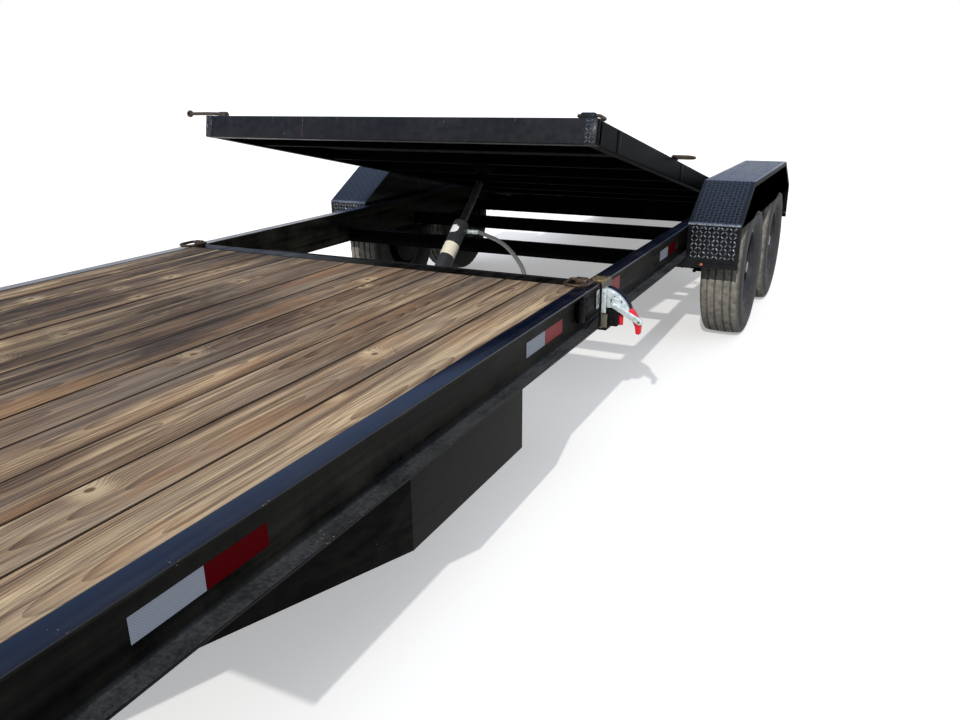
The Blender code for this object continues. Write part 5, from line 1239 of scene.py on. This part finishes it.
def build_jack():
    """The tongue jack: tube, gear head, crank with its grip, collar on its plate, plated leg and foot."""
    y, top, low = JACK_PLACE, 0.330, -RAIL_DEPTH
    bottom = top - 0.640
    shaft = top - 0.035
    grip = shaft - 0.200
    upright = Matrix.Translation((0, y, 0)) @ Matrix.Rotation(-math.pi / 2, 4, "Y")
    shell = lathe([(bottom, 0.0352), (bottom, 0.0405), (bottom + 0.0015, 0.042), (top - 0.072, 0.042),
                   (top - 0.070, 0.0465), (top - 0.068, 0.048), (top - 0.004, 0.048), (top + 0.002, 0.0455),
                   (top + 0.0058, 0.038), (top + 0.0058, 0.0), (bottom + 0.35, 0.0),
                   (bottom + 0.35, 0.0352)], 64, False, place=upright)
    collar = lathe([(low - 0.020, 0.0422), (low - 0.020, 0.050), (low - 0.018, 0.052), (low + 0.028, 0.052),
                    (low + 0.030, 0.050), (low + 0.030, 0.0422)], 64, place=upright)
    shapes = [shell, collar]
    for step in range(4):
        turn = math.radians(45 + 90 * step)
        bolt = (0.064 * math.cos(turn), y + 0.064 * math.sin(turn), low + 0.010)
        shapes.append(hexagon(bolt, (0, 0, 1), 0.018, 0.008))
    finish("jack_tube", shapes, enamel, "black_paint", "jack")
    crank = filleted([(0.030, y, shaft), (0.078, y, shaft), (0.078, y, grip), (0.188, y, grip)], 0.014, 6)
    finish("jack_crank", tube(crank, 0.0078, 20), zinc, "zinc_plate", "jack")
    handle = lathe([(0.090, 0.0), (0.090, 0.0095), (0.093, 0.0118), (0.120, 0.0112), (0.150, 0.0118),
                    (0.184, 0.0112), (0.188, 0.009), (0.188, 0.0)],
                    32, False, place=Matrix.Translation((0, y, grip)))
    finish("jack_grip", handle, cover_black, "black_paint", "jack")
    outline = []
    for side, edge in ((-1, -0.15), (-1, 0.15), (1, 0.15), (1, -0.15)):
        half = 0.065 + (0.9504 - 0.065) * (y + edge - MAST_FRONT) / (-1.34 - MAST_FRONT)
        outline.append((side * (half - 0.006), y + edge))
    plate = drawn(outline, "Z", low, low + 0.010, 0.0012, 2)
    plate = finish("jack_plate", plate, enamel, "black_paint", "jack")
    pierced(plate, [pin("Z", (0, y), low - 0.01, low + 0.02, 0.0535, 48)])
    shapes = [pin("Z", (0, y), FLOOR + 0.010, bottom + 0.31, 0.0338, 48, 0.001),
              block((-0.0995, y - 0.0995, FLOOR + 0.0003), (0.0995, y + 0.0995, FLOOR + 0.0098), 0.003)]
    shapes.append(lathe([(FLOOR + 0.0098, 0.0345), (FLOOR + 0.0098, 0.0385), (FLOOR + 0.0150, 0.0350),
                         (FLOOR + 0.0150, 0.0345)], 48))
    shapes[-1].transform(upright)
    foot = finish("jack_leg_plated", shapes, zinc, "zinc_plate", "jack_leg")
    holes = [pin("Z", (side * 0.075, y + end * 0.075), FLOOR - 0.01, FLOOR + 0.02, 0.007, 20)
             for side in (-1, 1) for end in (-1, 1)]
    pierced(foot, holes)


build_coupler()
build_jack()


# Suspension and lamps

def build_running_gear():
    """Axle tubes with their seats and plates, leaf springs with U-bolts and rockers, and tail lamps."""
    plate_in = TRACK_HALF - 0.115 - 0.010
    spring_x = WEB_OUTER + 0.053 / 2
    centre = AXLE_HEIGHT + 0.046 + 0.0003
    for place, station in AXLES:
        shapes = [pin("X", (station, AXLE_HEIGHT), -plate_in, plate_in, 0.038, 48)]
        reach = TRACK_HALF + 0.040
        shapes.append(pin("X", (station, AXLE_HEIGHT), -reach, reach, 0.0218, 40, 0.001))
        for side in (-1, 1):
            start, end = side * plate_in, side * (plate_in + 0.006)
            shapes.append(pin("X", (station, AXLE_HEIGHT), start, end, 0.1545, 64, 0.002))
            x = side * spring_x
            shapes.append(block((x - 0.0225, station - 0.05, AXLE_HEIGHT + 0.012),
                                (x + 0.0225, station + 0.05, AXLE_HEIGHT + 0.0459), 0.002))
        finish("axle_tube_" + place, shapes, chassis, "dark_steel", "axle_" + place)
    for name, side in SIDES:
        x = side * spring_x
        shapes, bolts = [], []
        for station in (FRONT_AXLE, REAR_AXLE):
            for index in range(4):
                half = SPRING_HALF - 0.069 * index
                middle = centre + (3 - index) * 0.008
                path = []
                for step in range(25):
                    along = -half + 2 * half * step / 24
                    drop = (SPRING_EYE - centre - 0.024) * (along / SPRING_HALF) ** 2
                    path.append(Vector((station + along, middle + 0.004 + drop)))
                leaf = band(path, 0.0037, -0.0037)
                shapes.append(drawn(leaf, "X", x - 0.0222, x + 0.0222, 0.0012, 2, 60))
            for end in (-1, 1):
                eye = station + end * SPRING_HALF
                shapes.append(pin("X", (eye, SPRING_EYE), x - 0.0223, x + 0.0223, 0.0178, 36, 0.001))
            for edge in (-0.034, 0.034):
                arch = [(x + way * 0.0265, station + edge, centre + z)
                        for way, z in ((-1, -0.096), (-1, 0.046), (1, 0.046), (1, -0.096))]
                bolts.append(tube(filleted(arch, 0.016, 6), 0.0055, 14))
                for way in (-1, 1):
                    foot = (x + way * 0.0265, station + edge, centre - 0.0905)
                    bolts.append(hexagon(foot, (0, 0, -1), 0.017, 0.008))
            bolts.append(block((x - 0.036, station - 0.046, centre - 0.0900),
                               (x + 0.036, station + 0.046, centre - 0.0845), 0.0015))
            bolts.append(pin("Z", (x, station), centre + 0.030, centre + 0.038, 0.0075, 6, 0.0008))
        middle = (FRONT_AXLE + REAR_AXLE) / 2
        inner = (REAR_AXLE - FRONT_AXLE) / 2 - SPRING_HALF
        rocker = [(middle + y, z) for y, z in ((-inner - 0.012, -0.216), (0, -0.252), (inner + 0.012, -0.216),
                                               (inner, -0.194), (0, -0.200), (-inner, -0.194))]
        shapes.append(drawn(rocker, "X", x - 0.0185, x + 0.0185, 0.005, 3, 20))
        finish("spring_leaves_" + name, shapes, chassis, "dark_steel", "springs_" + name)
        finish("spring_bolts_" + name, bolts, chassis, "dark_steel")
        # tail lamps on the fender's rear foot: black housing, domed red lens
        mid = side * (FENDER_OUTER - 0.030 - 0.080)
        housing = block((mid - 0.0795, 3.4105, -0.1495), (mid + 0.0795, 3.4270, -0.0855), 0.004, 3)
        finish("tail_lamp_housing_" + name, housing, cover_black, "black_paint", "tail_lamp_" + name)
        lens = rounded(block((mid - 0.0740, 3.4265, -0.1440), (mid + 0.0740, 3.4395, -0.0910)), 0.006, 4)
        finish("tail_lamp_lens_" + name, lens, lens_red, "lamp_lens", "tail_lamp_" + name)


build_running_gear()


# Finishes of the CAD nodes that stay

PLAIN = {
    enamel: ("front_header", "deck_edge", "tongue_left", "tongue_right", "tongue_cross", "coupler_mast"),
    bed_enamel: ("bed_tail", "bed_rail_left", "bed_rail_right"),
    header_enamel: ("bed_header",),
    underside: ("crossmember_1", "crossmember_2", "crossmember_3", "crossmember_4", "pivot_shaft",
                "axle_front", "axle_rear", "springs_left", "springs_right", "coupler", "jack",
                "latch_housing", "latch_block", "cylinder_tube"),
    zinc: ("jack_leg", "latch_bracket", "latch_lever"),
    post_steel: ("latch_post",),
    rusty: ("tie_ring_left", "tie_ring_right", "bed_ring_front", "bed_eye_bar", "bed_ring_side_left",
            "bed_ring_side_right"),
    chrome: ("cylinder_rod",),
    lens_red: ("tail_lamp_left", "tail_lamp_right"),
}
for look, names in PLAIN.items():
    for name in names:
        node = frame["nodes"][name]
        if not node.material_slots:
            node.data.materials.append(look)
        for held in node.material_slots:
            held.material = look
